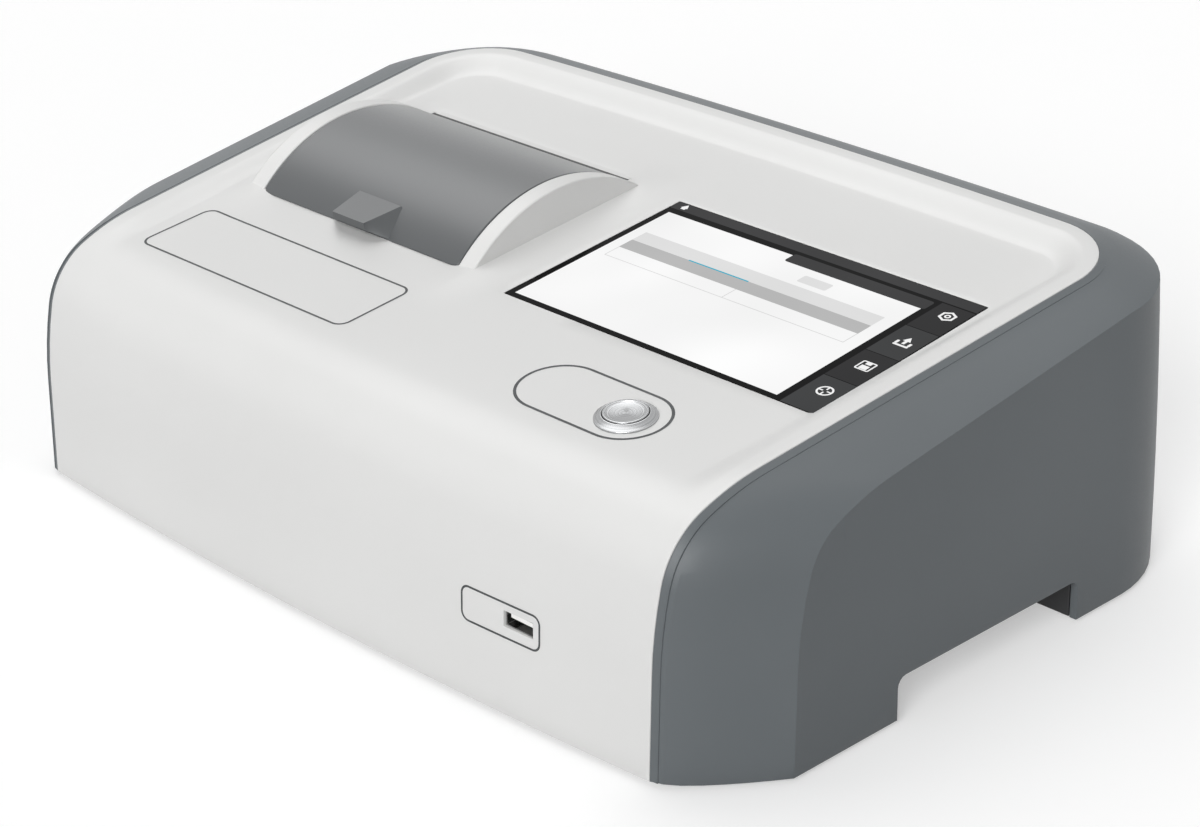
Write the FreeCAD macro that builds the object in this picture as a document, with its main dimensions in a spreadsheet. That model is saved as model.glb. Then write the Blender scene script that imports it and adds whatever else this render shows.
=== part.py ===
# Benchtop colorimeter: a dark wrap-around casing with a pale sloping deck, a touch screen, a push
# button, a USB socket in the front, and a curved roll-top lid over the sample chamber.
# Frame: +Z up, -Y towards the user, origin under the middle of the part, on the table. Millimetres.
import FreeCAD, Part
import math
import os
import re
import Sketcher
from FreeCAD import Matrix, Placement, Rotation, Vector

DOC = FreeCAD.newDocument("Colorimeter")
SHEET = DOC.addObject("Spreadsheet::Sheet", "Sizes")

# Driving dimensions. Heights of the casing are above its lower edge, which the feet hold off the table.
SIZES = [
    # Casing, in plan
    ("body_width", 400.0), ("corner_line", 77.7), ("corner_radius", 58.6), ("back_bow", 2.6),
    ("side_draft", 0.04), ("side_skew", 0.0267), ("casing_wall", 3.0), ("seam_gap", 0.25),
    # Cap edge, which is also the inner edge of the casing's bevel
    ("cap_inset", 27.2), ("cap_skew", 0.0488), ("front_line", 133.1), ("front_bow", 5.9),
    ("cap_wall", 2.6), ("skirt_drop", 14.0), ("skirt_start", 96.0),
    # Profile of the cap seen from the side: lean, three shoulder arcs and the rim line
    ("rim_rise", 4.04), ("rim_tilt", 6.81), ("front_lean", 1.2), ("shoulder_low", 150.0),
    ("shoulder_mid", 30.0), ("shoulder_high", 95.0), ("turn_low", 13.0), ("turn_mid", 67.0),
    # The same profile at the crease, where chamfer and side meet
    ("crease_inset", 34.3), ("crease_drop", 8.44), ("crease_tilt", 8.1), ("crease_lean", 2.5),
    ("crease_low", 110.0), ("crease_mid", 24.0), ("crease_high", 100.0), ("crease_turn_low", 20.0),
    ("crease_turn_mid", 66.0), ("crease_back_rise", 6.7), ("crease_back_slope", 0.045),
    # Bevel between cap and chamfer, and the run-outs of construction solids
    ("bevel_width", 4.5), ("bevel_inset", 2.0), ("bevel_drop", 1.9), ("hat_rise", 0.2), ("overrun", 30.0),
    # Deck: its plane, the rim round it and the slope between them
    ("deck_height", 104.1), ("deck_tilt", 5.76), ("rim_width", 5.5), ("rim_slope_width", 10.5),
    # Feet
    ("foot_drop", 2.0), ("foot_radius", 9.0), ("foot_seat", 1.2), ("foot_side", 140.0),
    ("foot_front", 112.0), ("foot_back", 98.0),
    # Hand recesses under both sides
    ("grip_front", -47.3), ("grip_back", 50.8), ("grip_height", 16.2), ("grip_depth", 32.0),
    ("grip_radius", 4.0), ("liner_wall", 2.0), ("fit_gap", 0.3),
    # Lid, in the deck's own slope: s runs up the slope, e stands off the deck
    ("lid_radius", 70.7), ("lid_wall", 2.5), ("lid_s", 3.8), ("lid_depth", 53.7), ("lid_left", -137.0),
    ("lid_right", -24.0), ("lid_lift", 0.4), ("lid_tail", 4.0), ("slot_gap", 1.2),
    ("cheek_width", 8.0), ("cheek_stand", 0.2), ("cheek_gap", 0.5), ("sill_reach", 4.4),
    ("arm_thick", 2.4), ("arm_inset", 0.6), ("arm_width", 18.0),
    ("pin_radius", 2.5), ("pin_fit", 0.1),
    ("tab_x", -78.5), ("tab_half", 9.0), ("tab_reach", 4.8), ("tab_low", 4.7), ("tab_thick", 2.9),
    ("tab_root", 12.2), ("tab_root_low", 7.3), ("tab_root_high", 9.0), ("tab_root_wide", 30.0),
    ("tab_root_narrow", 12.0),
    # Sample chamber and what stands in it
    ("chamber_gap", 1.6), ("chamber_front", -36.0), ("chamber_back", 42.0), ("chamber_floor", 62.0),
    ("chamber_wall", 2.5), ("beam_s", -18.0), ("beam_depth", 44.0),
    ("beam_radius", 5.0), ("window_radius", 8.0), ("window_fit", 0.1),
    ("holder_length", 92.0), ("holder_width", 24.0), ("holder_height", 26.0), ("cell_width", 12.8),
    ("cell_length", 76.0), ("holder_floor", 4.0), ("stand_inset", 14.0), ("stand_front", -20.0),
    ("stand_back", 38.0), ("stand_wall", 12.0), ("stand_window", 16.0),
    # Optical bench and the optics on it
    ("bench_left", -162.0), ("bench_right", 72.0), ("bench_front", -80.0), ("bench_back", 62.0),
    ("bench_low", 9.0), ("bench_thick", 3.0), ("damper_radius", 8.0), ("damper_inset", 12.0),
    ("lamp_width", 38.0), ("lamp_depth", 40.0), ("lamp_height", 44.0), ("lamp_gap", 1.2),
    ("lamp_wall", 2.0), ("lamp_foot", 20.0), ("lamp_bulb_radius", 6.0),
    ("sphere_radius", 23.0), ("sphere_wall", 3.0), ("sphere_gap", 1.2), ("pedestal", 8.0),
    ("meter_length", 44.0), ("meter_depth", 62.0), ("meter_drop", 26.1), ("meter_wall", 2.0),
    ("meter_lid", 2.0), ("grating_size", 24.0), ("grating_thick", 6.0), ("sensor_shift", 12.0),
    ("sensor_width", 14.0), ("sensor_height", 10.0), ("sensor_thick", 4.0),
    # Screen
    ("glass_left", 4.9), ("glass_right", 154.0), ("glass_low", -45.5), ("glass_high", 49.6),
    ("glass_thick", 1.6), ("glass_gap", 0.25), ("view_inset", 5.0), ("panel_thick", 3.2),
    ("frame_border", 7.0), ("frame_thick", 1.5), ("screen_board_thick", 1.6),
    ("screen_board_inset", 16.0),
    # Push button
    ("button_x", 104.7), ("button_s", -84.4), ("bezel_radius", 12.7), ("bezel_height", 2.0),
    ("button_cap_radius", 9.15), ("button_bore", 9.35), ("button_stand", 2.4), ("button_cap_deep", 7.0),
    ("button_body_radius", 10.9), ("button_hole", 11.1), ("button_tube", 20.0), ("button_seat", 8.0),
    ("button_block", 8.0), ("button_nut_radius", 14.5), ("button_nut_thick", 4.0),
    ("button_pin_radius", 1.2), ("button_pin_length", 6.0), ("button_pin_pitch", 5.0), ("thread_fit", 0.05),
    # Front USB socket
    ("usb_x", 104.9), ("usb_z", 36.9), ("usb_width", 12.5), ("usb_height", 5.1), ("usb_shell", 0.4),
    ("usb_length", 14.0), ("usb_back", 1.0), ("usb_tongue", 1.8), ("usb_tongue_width", 10.4),
    ("usb_tongue_drop", 0.7), ("usb_tongue_short", 1.0), ("usb_proud", 1.9), ("usb_fit", 0.1),
    ("usb_board_width", 30.0), ("usb_board_front", 3.2), ("usb_board_length", 34.0), ("board_thick", 1.6),
    ("usb_stand_inset", 9.0), ("usb_stand_length", 20.0),
    # Boards and supply
    ("main_left", 78.0), ("main_right", 164.0), ("main_front", -84.0), ("main_back", 14.0),
    ("main_low", 20.0), ("chip_size", 22.0), ("chip_height", 3.0), ("chip_inset", 26.0),
    ("sink_height", 10.0), ("sink_base", 2.0), ("sink_fin", 1.6), ("sink_pitch", 4.9),
    ("standoff_radius", 3.2), ("standoff_inset", 6.0), ("screw_radius", 1.5), ("screw_head", 2.8),
    ("screw_head_thick", 1.8), ("screw_grip", 6.0), ("screw_fit", 0.05),
    ("supply_left", 80.0), ("supply_right", 146.0), ("supply_front", 26.0), ("supply_back", 108.0),
    ("supply_height", 38.0), ("supply_wall", 1.2), ("supply_vent", 4.0), ("supply_vent_pitch", 9.0),
    # Base tray
    ("tray_thick", 3.0), ("tray_gap", 0.4), ("tray_corner_x", 154.0), ("tray_corner_y", 122.0),
    ("flange_lift", 6.0), ("flange_front", 6.0),
    ("post_radius", 4.5), ("post_side", 154.0), ("post_front", 92.0), ("post_back", 84.0),
    ("base_screw_radius", 2.0), ("base_screw_head", 3.6), ("base_screw_thick", 1.6), ("base_screw_length", 12.0),
    # Rear connector panel
    ("panel_left", -62.0), ("panel_right", 62.0), ("panel_low", 20.0), ("panel_high", 62.0),
    ("panel_set_back", 7.0), ("panel_sheet", 2.0), ("panel_lap", 8.0), ("panel_frame", 10.0),
    ("panel_fit", 0.15), ("panel_screw_inset", 4.0), ("panel_screw_deep", 3.5), ("rear_z", 41.0),
    ("inlet_x", -38.0), ("inlet_width", 27.0), ("inlet_height", 19.6), ("inlet_flange", 3.0),
    ("inlet_flange_thick", 2.0), ("inlet_depth", 20.0), ("inlet_cavity", 15.0), ("inlet_wall", 2.0),
    ("blade_width", 2.0), ("blade_height", 4.0), ("blade_pitch", 7.0), ("blade_length", 12.0),
    ("switch_x", 4.0), ("switch_width", 13.0), ("switch_height", 19.0), ("switch_flange", 2.2),
    ("switch_flange_thick", 1.6), ("switch_depth", 16.0), ("switch_wall", 1.2), ("switch_floor", 2.0),
    ("rocker_gap", 0.4), ("rocker_rest", 6.0), ("rocker_facet", 8.0), ("rocker_deep", 5.0),
    ("rocker_stand", 1.6), ("rocker_half", 7.4), ("rocker_back", 4.0), ("axle_radius", 1.0), ("axle_fit", 0.1),
    ("port_x", 38.0), ("port_width", 16.0), ("port_height", 13.5), ("port_depth", 18.0),
    ("port_wall", 1.0), ("port_proud", 1.0), ("port_tongue_width", 8.0), ("port_tongue_height", 3.0),
    ("port_tongue_short", 2.0),
]
for row, (alias, value) in enumerate(SIZES, start=1):
    SHEET.set(f"A{row}", alias)
    SHEET.set(f"B{row}", str(value))
    SHEET.setAlias(f"B{row}", alias)
DOC.recompute()

ALIASES = {alias for alias, _ in SIZES}
# Shares of the way from bevel to crease, with the chamfer's share of inset and drop there: it is convex
CHAMFER_SHARES = [(0.37, 0.30, 0.33), (0.72, 0.64, 0.69)]
PARTS = {}


def size(alias):
    """The value of one cell of the sheet."""
    return float(SHEET.get(alias))


def expression(words):
    """A sum written in alias names, turned into an expression on the sheet."""
    return re.sub(r"[a-z_][a-z_0-9]*", lambda m: f"Sizes.{m[0]}" if m[0] in ALIASES else m[0], words)


def bind(thing, prop, words):
    thing.setExpression(prop, expression(words))


def node(thing, label):
    """Name a finished sub-part."""
    thing.Label = label
    PARTS[label] = thing
    return thing


def feature(name, shape):
    thing = DOC.addObject("Part::Feature", name)
    thing.Shape = shape
    return thing


def block(name, x0, x1, y0, y1, z0, z1):
    """A box between six sums of named sizes."""
    box = DOC.addObject("Part::Box", name)
    bind(box, "Length", f"({x1}) - ({x0})")
    bind(box, "Width", f"({y1}) - ({y0})")
    bind(box, "Height", f"({z1}) - ({z0})")
    bind(box, "Placement.Base.x", x0)
    bind(box, "Placement.Base.y", y0)
    bind(box, "Placement.Base.z", z0)
    return box


def rod(name, axis, radius, length, x, y, z):
    """A cylinder along X, Y or Z from a named point."""
    turns = {
        "X": Rotation(Vector(0, 1, 0), 90),
        "Y": Rotation(Vector(1, 0, 0), -90),
        "Z": Rotation(),
    }
    cylinder = DOC.addObject("Part::Cylinder", name)
    cylinder.Placement = Placement(Vector(), turns[axis])
    bind(cylinder, "Radius", radius)
    bind(cylinder, "Height", length)
    bind(cylinder, "Placement.Base.x", x)
    bind(cylinder, "Placement.Base.y", y)
    bind(cylinder, "Placement.Base.z", z)
    return cylinder


def union(name, *things):
    joined = DOC.addObject("Part::MultiFuse", name)
    joined.Shapes = list(things)
    return joined


def group(name, *things):
    """Separate solids in one node."""
    gathered = DOC.addObject("Part::Compound", name)
    gathered.Links = list(things)
    return gathered


def cut(name, base, *tools):
    tool = tools[0] if len(tools) == 1 else union(f"{name}Tools", *tools)
    result = DOC.addObject("Part::Cut", name)
    result.Base = base
    result.Tool = tool
    return result


def common(name, base, tool):
    result = DOC.addObject("Part::Common", name)
    result.Base = base
    result.Tool = tool
    return result


def on_deck(thing):
    """Place a piece modelled flat, with Y up the slope and Z off it, on the sloping deck."""
    thing.Placement = Placement(Vector(), Rotation(Vector(1, 0, 0), size("deck_tilt")))
    bind(thing, "Placement.Rotation.Angle", "deck_tilt")
    bind(thing, "Placement.Base.z", "foot_drop + deck_height")
    return thing


def rectangle(sketch, x0, x1, y0, y1):
    """A rectangle in a sketch, held by four distances from the origin that are bound to the sheet."""
    corners = [Vector(-1, -1, 0), Vector(1, -1, 0), Vector(1, 1, 0), Vector(-1, 1, 0)]
    first = len(sketch.Geometry)
    for start, end in zip(corners, corners[1:] + corners[:1]):
        sketch.addGeometry(Part.LineSegment(start, end), False)
    for step in range(4):
        sketch.addConstraint(Sketcher.Constraint("Coincident", first + step, 2, first + (step + 1) % 4, 1))
    for step, kind in enumerate(("Horizontal", "Vertical", "Horizontal", "Vertical")):
        sketch.addConstraint(Sketcher.Constraint(kind, first + step))
    for kind, line, words in (("DistanceX", 3, x0), ("DistanceX", 1, x1),
                              ("DistanceY", 0, y0), ("DistanceY", 2, y1)):
        low = -1.0 if line in (0, 3) else 1.0
        held = sketch.addConstraint(Sketcher.Constraint(kind, -1, 1, first + line, 1, low))
        sketch.setExpression(f"Constraints[{held}]", expression(words))


def circle(sketch, radius, x, y):
    ring = sketch.addGeometry(Part.Circle(Vector(1, 1, 0), Vector(0, 0, 1), 1), False)
    for rule, words in ((Sketcher.Constraint("Radius", ring, 1.0), radius),
                        (Sketcher.Constraint("DistanceX", -1, 1, ring, 3, 1.0), x),
                        (Sketcher.Constraint("DistanceY", -1, 1, ring, 3, 1.0), y)):
        held = sketch.addConstraint(rule)
        sketch.setExpression(f"Constraints[{held}]", expression(words))


def plate(name, thickness, outline, windows=(), holes=(), plane="XY_Plane"):
    """A flat sheet as a padded sketch: a rectangle, square windows and round holes."""
    body = DOC.addObject("PartDesign::Body", name)
    sketch = body.newObject("Sketcher::SketchObject", f"{name}Sketch")
    base = next(f for f in body.Origin.OriginFeatures if f.Role == plane)
    sketch.AttachmentSupport = [(base, "")]
    sketch.MapMode = "FlatFace"
    rectangle(sketch, *outline)
    for window in windows:
        rectangle(sketch, *window)
    for hole in holes:
        circle(sketch, *hole)
    pad = body.newObject("PartDesign::Pad", f"{name}Pad")
    pad.Profile = sketch
    bind(pad, "Length", thickness)
    sketch.Visibility = False
    return body


def raise_body(body, z):
    """Lift a flat body to its height above the table."""
    bind(body, "Placement.Base.z", z)
    return body


def loft(wires, ruled):
    """A closed loft, turned right side out."""
    body = Part.makeLoft(wires, True, ruled)
    if body.Volume < 0:
        body.reverse()
    return body


def along(start, end, share):
    return start + (end - start) * share


def degrees_cos(angle):
    return math.cos(math.radians(angle))


def degrees_sin(angle):
    return math.sin(math.radians(angle))


def cap_half():
    """Half the width of the pale cap where its corners begin."""
    return size("body_width") / 2 - size("cap_inset")


def rim_height():
    """Height of the rim line over the origin, above the casing's lower edge."""
    return size("deck_height") + size("rim_rise")


def profile(share, inset, drop, low):
    """Side view of the casing at a share of the way from cap edge to crease, as a closed wire."""
    pairs = {
        "lean": ("front_lean", "crease_lean"), "low": ("shoulder_low", "crease_low"),
        "mid": ("shoulder_mid", "crease_mid"), "high": ("shoulder_high", "crease_high"),
        "turn_low": ("turn_low", "crease_turn_low"), "turn_mid": ("turn_mid", "crease_turn_mid"),
        "tilt": ("rim_tilt", "crease_tilt"),
    }
    at = {key: along(size(first), size(last), share) for key, (first, last) in pairs.items()}
    turns = [at["lean"], at["turn_low"], at["turn_mid"], 90 - at["tilt"]]
    radii = [at["low"], at["mid"], at["high"]]
    slope = math.tan(math.radians(at["tilt"]))
    lean = math.tan(math.radians(at["lean"]))
    steps = list(zip(radii, turns, turns[1:]))
    reach = sum(r * (degrees_cos(a) - degrees_cos(b)) for r, a, b in steps)
    climb = sum(r * (degrees_sin(b) - degrees_sin(a)) for r, a, b in steps)
    front = inset - size("front_line")
    top = rim_height() - drop
    straight = (top + slope * (front + reach) - climb) / (1 - slope * lean)
    y, z = front + straight * lean, straight
    foot = Vector(0, front + low * lean, low)
    edges = [Part.makeLine(foot, Vector(0, y, z))]
    for radius, start, end in steps:
        middle = (start + end) / 2
        centre = Vector(0, y + radius * degrees_cos(start), z - radius * degrees_sin(start))
        halfway = centre + Vector(0, -radius * degrees_cos(middle), radius * degrees_sin(middle))
        last = centre + Vector(0, -radius * degrees_cos(end), radius * degrees_sin(end))
        edges.append(Part.Arc(Vector(0, y, z), halfway, last).toShape())
        y, z = last.y, last.z
    back = size("corner_line") + size("corner_radius") + size("overrun")
    far = Vector(0, back, top + slope * back)
    under = Vector(0, back, low)
    edges.append(Part.makeLine(Vector(0, y, z), far))
    edges.append(Part.makeLine(far, under))
    edges.append(Part.makeLine(under, foot))
    return Part.Wire(edges)


def stand_aside(wire, side, x, skew, draft):
    """Put a side-view wire on an upright plane at x, skewed in plan and drafted."""
    matrix = Matrix()
    matrix.A12 = side * skew
    matrix.A13 = -side * draft
    matrix.A14 = side * (x - skew * size("corner_line"))
    return wire.transformGeometry(matrix)


def stations():
    """Share, plan share, inset and drop of each profile from the bevel's outer edge to the crease."""
    inset, drop = size("bevel_inset"), size("bevel_drop")
    rows = [(0.0, 0.0, inset, drop)]
    for share, inset_share, drop_share in CHAMFER_SHARES:
        rows.append((share, share, along(inset, size("crease_inset"), inset_share),
                     along(drop, size("crease_drop"), drop_share)))
    rows.append((1.0, 1.0, size("crease_inset"), size("crease_drop")))
    return rows


def side_band(side, low, wall):
    """Bevel and chamfer along one side, with the flat side face outside them."""
    wires = [stand_aside(profile(0, wall, wall, low), side, cap_half(), size("cap_skew"), 0)]
    bevel = cap_half() + size("bevel_width")
    outer = size("body_width") / 2 - wall
    for share, plan, inset, drop in stations():
        wire = profile(share, inset + wall, drop + wall, low)
        wires.append(stand_aside(wire, side, along(bevel, outer, plan),
                                 along(size("cap_skew"), size("side_skew"), plan),
                                 along(0, size("side_draft"), plan)))
    return loft(wires, True)


def middle_block(low, wall, gap=0.0):
    """The envelope between the two cap edges, bowed forward in the middle."""
    x, skew = cap_half() - gap, size("cap_skew")
    edge = profile(0, wall, wall, low)
    nose = profile(0, wall - size("front_bow"), wall, low)
    wires = [stand_aside(edge, -1, x, skew, 0), stand_aside(nose, 1, 0, 0, 0), stand_aside(edge, 1, x, skew, 0)]
    return loft(wires, False)


def back_outline(radius, height, slope, bow, straight_skew=0.0):
    """Plan outline with round rear corners and a bowed back, on a plane that rises to the back."""
    line = size("corner_line")
    centre = size("body_width") / 2 - size("corner_radius")
    front = -2 * size("front_line") - line
    side = centre + radius
    ahead = side - straight_skew * (line - front)
    half = math.sqrt(0.5) * radius
    edges = [
        Part.makeLine(Vector(-ahead, front, 0), Vector(ahead, front, 0)),
        Part.makeLine(Vector(ahead, front, 0), Vector(side, line, 0)),
        Part.Arc(Vector(side, line, 0), Vector(centre + half, line + half, 0),
                 Vector(centre, line + radius, 0)).toShape(),
        Part.Arc(Vector(centre, line + radius, 0), Vector(0, line + radius + bow, 0),
                 Vector(-centre, line + radius, 0)).toShape(),
        Part.Arc(Vector(-centre, line + radius, 0), Vector(-centre - half, line + half, 0),
                 Vector(-side, line, 0)).toShape(),
        Part.makeLine(Vector(-side, line, 0), Vector(-ahead, front, 0)),
    ]
    matrix = Matrix()
    matrix.A32 = slope
    matrix.A34 = height - slope * line
    return Part.Wire(edges).transformGeometry(matrix)


def rear_hat(low, wall):
    """Round rear corners and back, drafted, with the same chamfer and bevel running round them."""
    rim_slope = math.tan(math.radians(size("rim_tilt")))
    rim = rim_height() + rim_slope * size("corner_line")
    crease = size("deck_height") + size("crease_back_rise")
    slope = size("crease_back_slope")
    bow = size("back_bow")
    outer = size("corner_radius")
    cap = outer - size("cap_inset")
    creased = outer - size("side_draft") * crease
    wires = [back_outline(outer - size("side_draft") * low - wall, low, 0, bow),
             back_outline(creased - wall, crease - wall, slope, bow)]
    bevel, bevel_top = cap + size("bevel_width"), rim - size("bevel_drop")
    for share, _, drop_share in reversed(CHAMFER_SHARES):
        wires.append(back_outline(along(bevel, creased, share) - wall,
                                  along(bevel_top, crease, drop_share) - wall,
                                  along(rim_slope, slope, drop_share), bow))
    wires.append(back_outline(bevel - wall, bevel_top - wall, rim_slope, bow))
    wires.append(back_outline(cap - size("bevel_width") - wall, rim + size("bevel_drop") - wall,
                              rim_slope, bow))
    hat = loft(wires, True)
    hat.translate(Vector(0, 0, size("hat_rise")))
    return hat


def envelope(low, wall):
    """The closed outer form of the whole casing, or of its hollow where a wall is given."""
    whole = middle_block(low, wall).fuse([side_band(1, low, wall), side_band(-1, low, wall)])
    return whole.removeSplitter().common(rear_hat(low - size("overrun"), wall))


def cap_column(inset, low, high):
    """An upright column inside the cap's edge in plan."""
    radius = size("corner_radius") - size("cap_inset") - inset
    outline = back_outline(radius, low, 0, size("back_bow"), size("cap_skew"))
    return Part.Face(outline).extrude(Vector(0, 0, high - low))


def plain_box(x0, x1, y0, y1, z0, z1):
    return Part.makeBox(x1 - x0, y1 - y0, z1 - z0, Vector(x0, y0, z0))


def grip_boxes(depth, height, back_off, wall_gap):
    """The two hand recesses as boxes, open downwards and outwards."""
    half = size("body_width") / 2
    boxes = []
    for side in (-1, 1):
        inner, outer = side * (half - depth), side * (half + size("overrun"))
        box = plain_box(min(inner, outer), max(inner, outer), size("grip_front") + back_off,
                        size("grip_back") - back_off, -size("overrun"), height)
        upright = [e for e in box.Edges if abs(e.tangentAt(e.FirstParameter).x) > 0.9
                   and e.CenterOfMass.z > 0]
        boxes.append(box.makeFillet(size("grip_radius") - wall_gap, upright))
    return boxes


def panel_seat():
    """Where the rear panel's outer face stands."""
    return size("corner_line") + size("corner_radius") + size("back_bow") - size("panel_set_back")


def panel_screw_places():
    """Where the rear panel's four screws sit, across and above the casing's lower edge."""
    out = size("panel_lap") - size("panel_screw_inset")
    return [(x, z) for x in (size("panel_left") - out, size("panel_right") + out)
            for z in (size("panel_low") - out, size("panel_high") + out)]


def make_outer_shell():
    hollow = envelope(-size("overrun"), size("casing_wall"))
    shell = envelope(0.0, 0.0).cut(hollow)
    high = size("body_width")
    shell = shell.cut(cap_column(0.0, -size("overrun"), high))
    shell = shell.cut(grip_boxes(size("grip_depth"), size("grip_height"), 0.0, 0.0))
    seat, frame = panel_seat(), size("panel_frame")
    x0, x1, z0, z1 = (size(n) for n in ("panel_left", "panel_right", "panel_low", "panel_high"))
    reach = size("overrun")
    surround = plain_box(x0 - frame, x1 + frame, seat, seat + reach, z0 - frame, z1 + frame)
    surround = surround.common(envelope(-reach, size("casing_wall") / 2))
    shell = shell.fuse(surround).cut(plain_box(x0, x1, seat - reach, seat + reach, z0, z1))
    holes = [Part.makeCylinder(size("screw_radius") + size("screw_fit"), size("panel_screw_deep"),
                               Vector(x, seat, z), Vector(0, 1, 0)) for x, z in panel_screw_places()]
    shell = shell.cut(holes).removeSplitter()
    shell.translate(Vector(0, 0, size("foot_drop")))
    return node(feature("OuterShell", shell), "outer_shell")


def deck_box(x0, x1, s0, s1, e0, e1):
    """A box in the deck's slope, above the casing's lower edge."""
    box = plain_box(x0, x1, s0, s1, e0, e1)
    box.rotate(Vector(), Vector(1, 0, 0), size("deck_tilt"))
    box.translate(Vector(0, 0, size("deck_height")))
    return box


def deck_rod(radius, x, s, e0, e1):
    rod_shape = Part.makeCylinder(radius, e1 - e0, Vector(x, s, e0))
    rod_shape.rotate(Vector(), Vector(1, 0, 0), size("deck_tilt"))
    rod_shape.translate(Vector(0, 0, size("deck_height")))
    return rod_shape


def deck_pocket():
    """What is taken off above the deck, inside the rim: it slopes down from the rim to the deck."""
    rim_slope = math.tan(math.radians(size("rim_tilt")))
    deck_slope = math.tan(math.radians(size("deck_tilt")))
    line = size("corner_line")
    rim = rim_height() + rim_slope * line
    deck = size("deck_height") + deck_slope * line
    edge = size("corner_radius") - size("cap_inset")
    inner = edge - size("rim_width") - size("rim_slope_width")
    outer = edge - size("rim_width") + size("rim_slope_width")
    bow, skew = size("back_bow"), size("cap_skew")
    floor = back_outline(inner, deck, deck_slope, bow, skew)
    mouth = back_outline(outer, 2 * rim - deck, 2 * rim_slope - deck_slope, bow, skew)
    return loft([floor, mouth], True)


def cheeks():
    """The raised arches beside the lid, which the lid's edge runs against."""
    reach = size("overrun")
    arches = []
    for x in (size("lid_left") - size("cheek_gap") - size("cheek_width"),
              size("lid_right") + size("cheek_gap")):
        disc = Part.makeCylinder(size("lid_radius") + size("cheek_stand"), size("cheek_width"),
                                 Vector(x, size("lid_s"), -size("lid_depth")), Vector(1, 0, 0))
        above = plain_box(x - reach, x + reach, -2 * size("lid_radius"), 2 * size("lid_radius"),
                          -size("cap_wall"), size("lid_radius"))
        arch = disc.common(above)
        arch.rotate(Vector(), Vector(1, 0, 0), size("deck_tilt"))
        arch.translate(Vector(0, 0, size("deck_height")))
        arches.append(arch)
    return arches


def lid_edges():
    """Where the lid's outer face meets the deck, in front and behind, along the slope."""
    half = math.sqrt(size("lid_radius") ** 2 - size("lid_depth") ** 2)
    return size("lid_s") - half, size("lid_s") + half


def lid_sweep():
    """The room behind the lid's axis that the turning lid needs in the deck."""
    gap = size("cheek_gap")
    long = size("lid_right") - size("lid_left") + 2 * gap
    start = Vector(size("lid_left") - gap, size("lid_s"), -size("lid_depth"))
    disc = Part.makeCylinder(size("lid_radius") + size("slot_gap"), long, start, Vector(1, 0, 0))
    behind = plain_box(start.x, start.x + long, size("lid_s"), size("lid_s") + size("body_width"),
                       -size("lid_depth"), size("lid_radius"))
    room = disc.common(behind)
    room.rotate(Vector(), Vector(1, 0, 0), size("deck_tilt"))
    room.translate(Vector(0, 0, size("deck_height")))
    return room


def make_top_cover():
    high, low, wall = size("body_width"), -size("overrun"), size("cap_wall")
    seam = size("seam_gap")
    cap = middle_block(0.0, 0.0, seam).common(cap_column(seam, low, high))
    cap = cap.cut(deck_pocket())
    deck_inside = middle_block(low, wall).common(cap_column(seam + wall, low, high))
    below = deck_box(-high, high, -high, high, -high, -wall)
    cap = cap.cut(deck_inside.common(below))
    skirt = plain_box(-high, high, -size("skirt_start"), high, -high, -size("skirt_drop"))
    skirt.rotate(Vector(), Vector(1, 0, 0), size("rim_tilt"))
    skirt.translate(Vector(0, 0, rim_height()))
    flange = plain_box(-high, high, size("flange_front") - size("front_line"), high, low, size("flange_lift"))
    cap = cap.cut([skirt, flange]).fuse(cheeks())
    front, _ = lid_edges()
    gap, reach = size("cheek_gap"), size("overrun")
    usb_half = size("usb_width") / 2 + size("usb_shell") + size("usb_fit")
    usb_rise = size("usb_height") / 2 + size("usb_shell") + size("usb_fit")
    openings = [
        deck_box(size("lid_left") - gap, size("lid_right") + gap, front + size("sill_reach"),
                 size("lid_s"), -reach, reach),
        lid_sweep(),
        deck_box(*(size(n) for n in ("glass_left", "glass_right", "glass_low", "glass_high")),
                 -size("glass_thick"), reach),
        deck_box(size("glass_left") + size("view_inset"), size("glass_right") - size("view_inset"),
                 size("glass_low") + size("view_inset"), size("glass_high") - size("view_inset"),
                 -reach, reach),
        deck_rod(size("button_hole"), size("button_x"), size("button_s"), -reach, reach),
        plain_box(size("usb_x") - usb_half, size("usb_x") + usb_half, -high, -size("front_line") + reach,
                  size("usb_z") - usb_rise, size("usb_z") + usb_rise),
    ]
    cap = cap.cut(openings).removeSplitter()
    cap.translate(Vector(0, 0, size("foot_drop")))
    return node(feature("TopCover", cap), "top_cover")


def around(middle, span):
    """The sums half a span to either side of a middle."""
    return f"{middle} - ({span}) / 2", f"{middle} + ({span}) / 2"


# Sums of named sizes that several pieces share, as heights and places above the table
TRAY_TOP = "(foot_drop + tray_thick)"
BENCH_TOP = "(foot_drop + bench_low + bench_thick)"
REAR = "(foot_drop + rear_z)"
BACK_SEAT = "(corner_line + corner_radius + back_bow - panel_set_back)"
BEAM_Y = "(beam_s * cos(deck_tilt * 1deg) + beam_depth * sin(deck_tilt * 1deg))"
BEAM_Z = "(foot_drop + deck_height + beam_s * sin(deck_tilt * 1deg) - beam_depth * cos(deck_tilt * 1deg))"
CHAMBER_LEFT = "(lid_left + arm_inset + arm_thick + chamber_gap)"
CHAMBER_RIGHT = "(lid_right - arm_inset - arm_thick - chamber_gap)"
CHAMBER_TOP = "(-cap_wall - fit_gap)"
HOLDER_LOW = "(chamber_wall - chamber_floor)"
SPHERE_X = "(lid_right + sphere_gap + sphere_radius)"
METER_LEFT = "(lid_right + sphere_gap + 2 * sphere_radius)"
PORT_FRONT = "(-front_line - usb_proud)"
USB_BOARD_TOP = "(foot_drop + usb_z - usb_height / 2 - usb_shell)"
MAIN_TOP = "(foot_drop + main_low + board_thick)"


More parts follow.
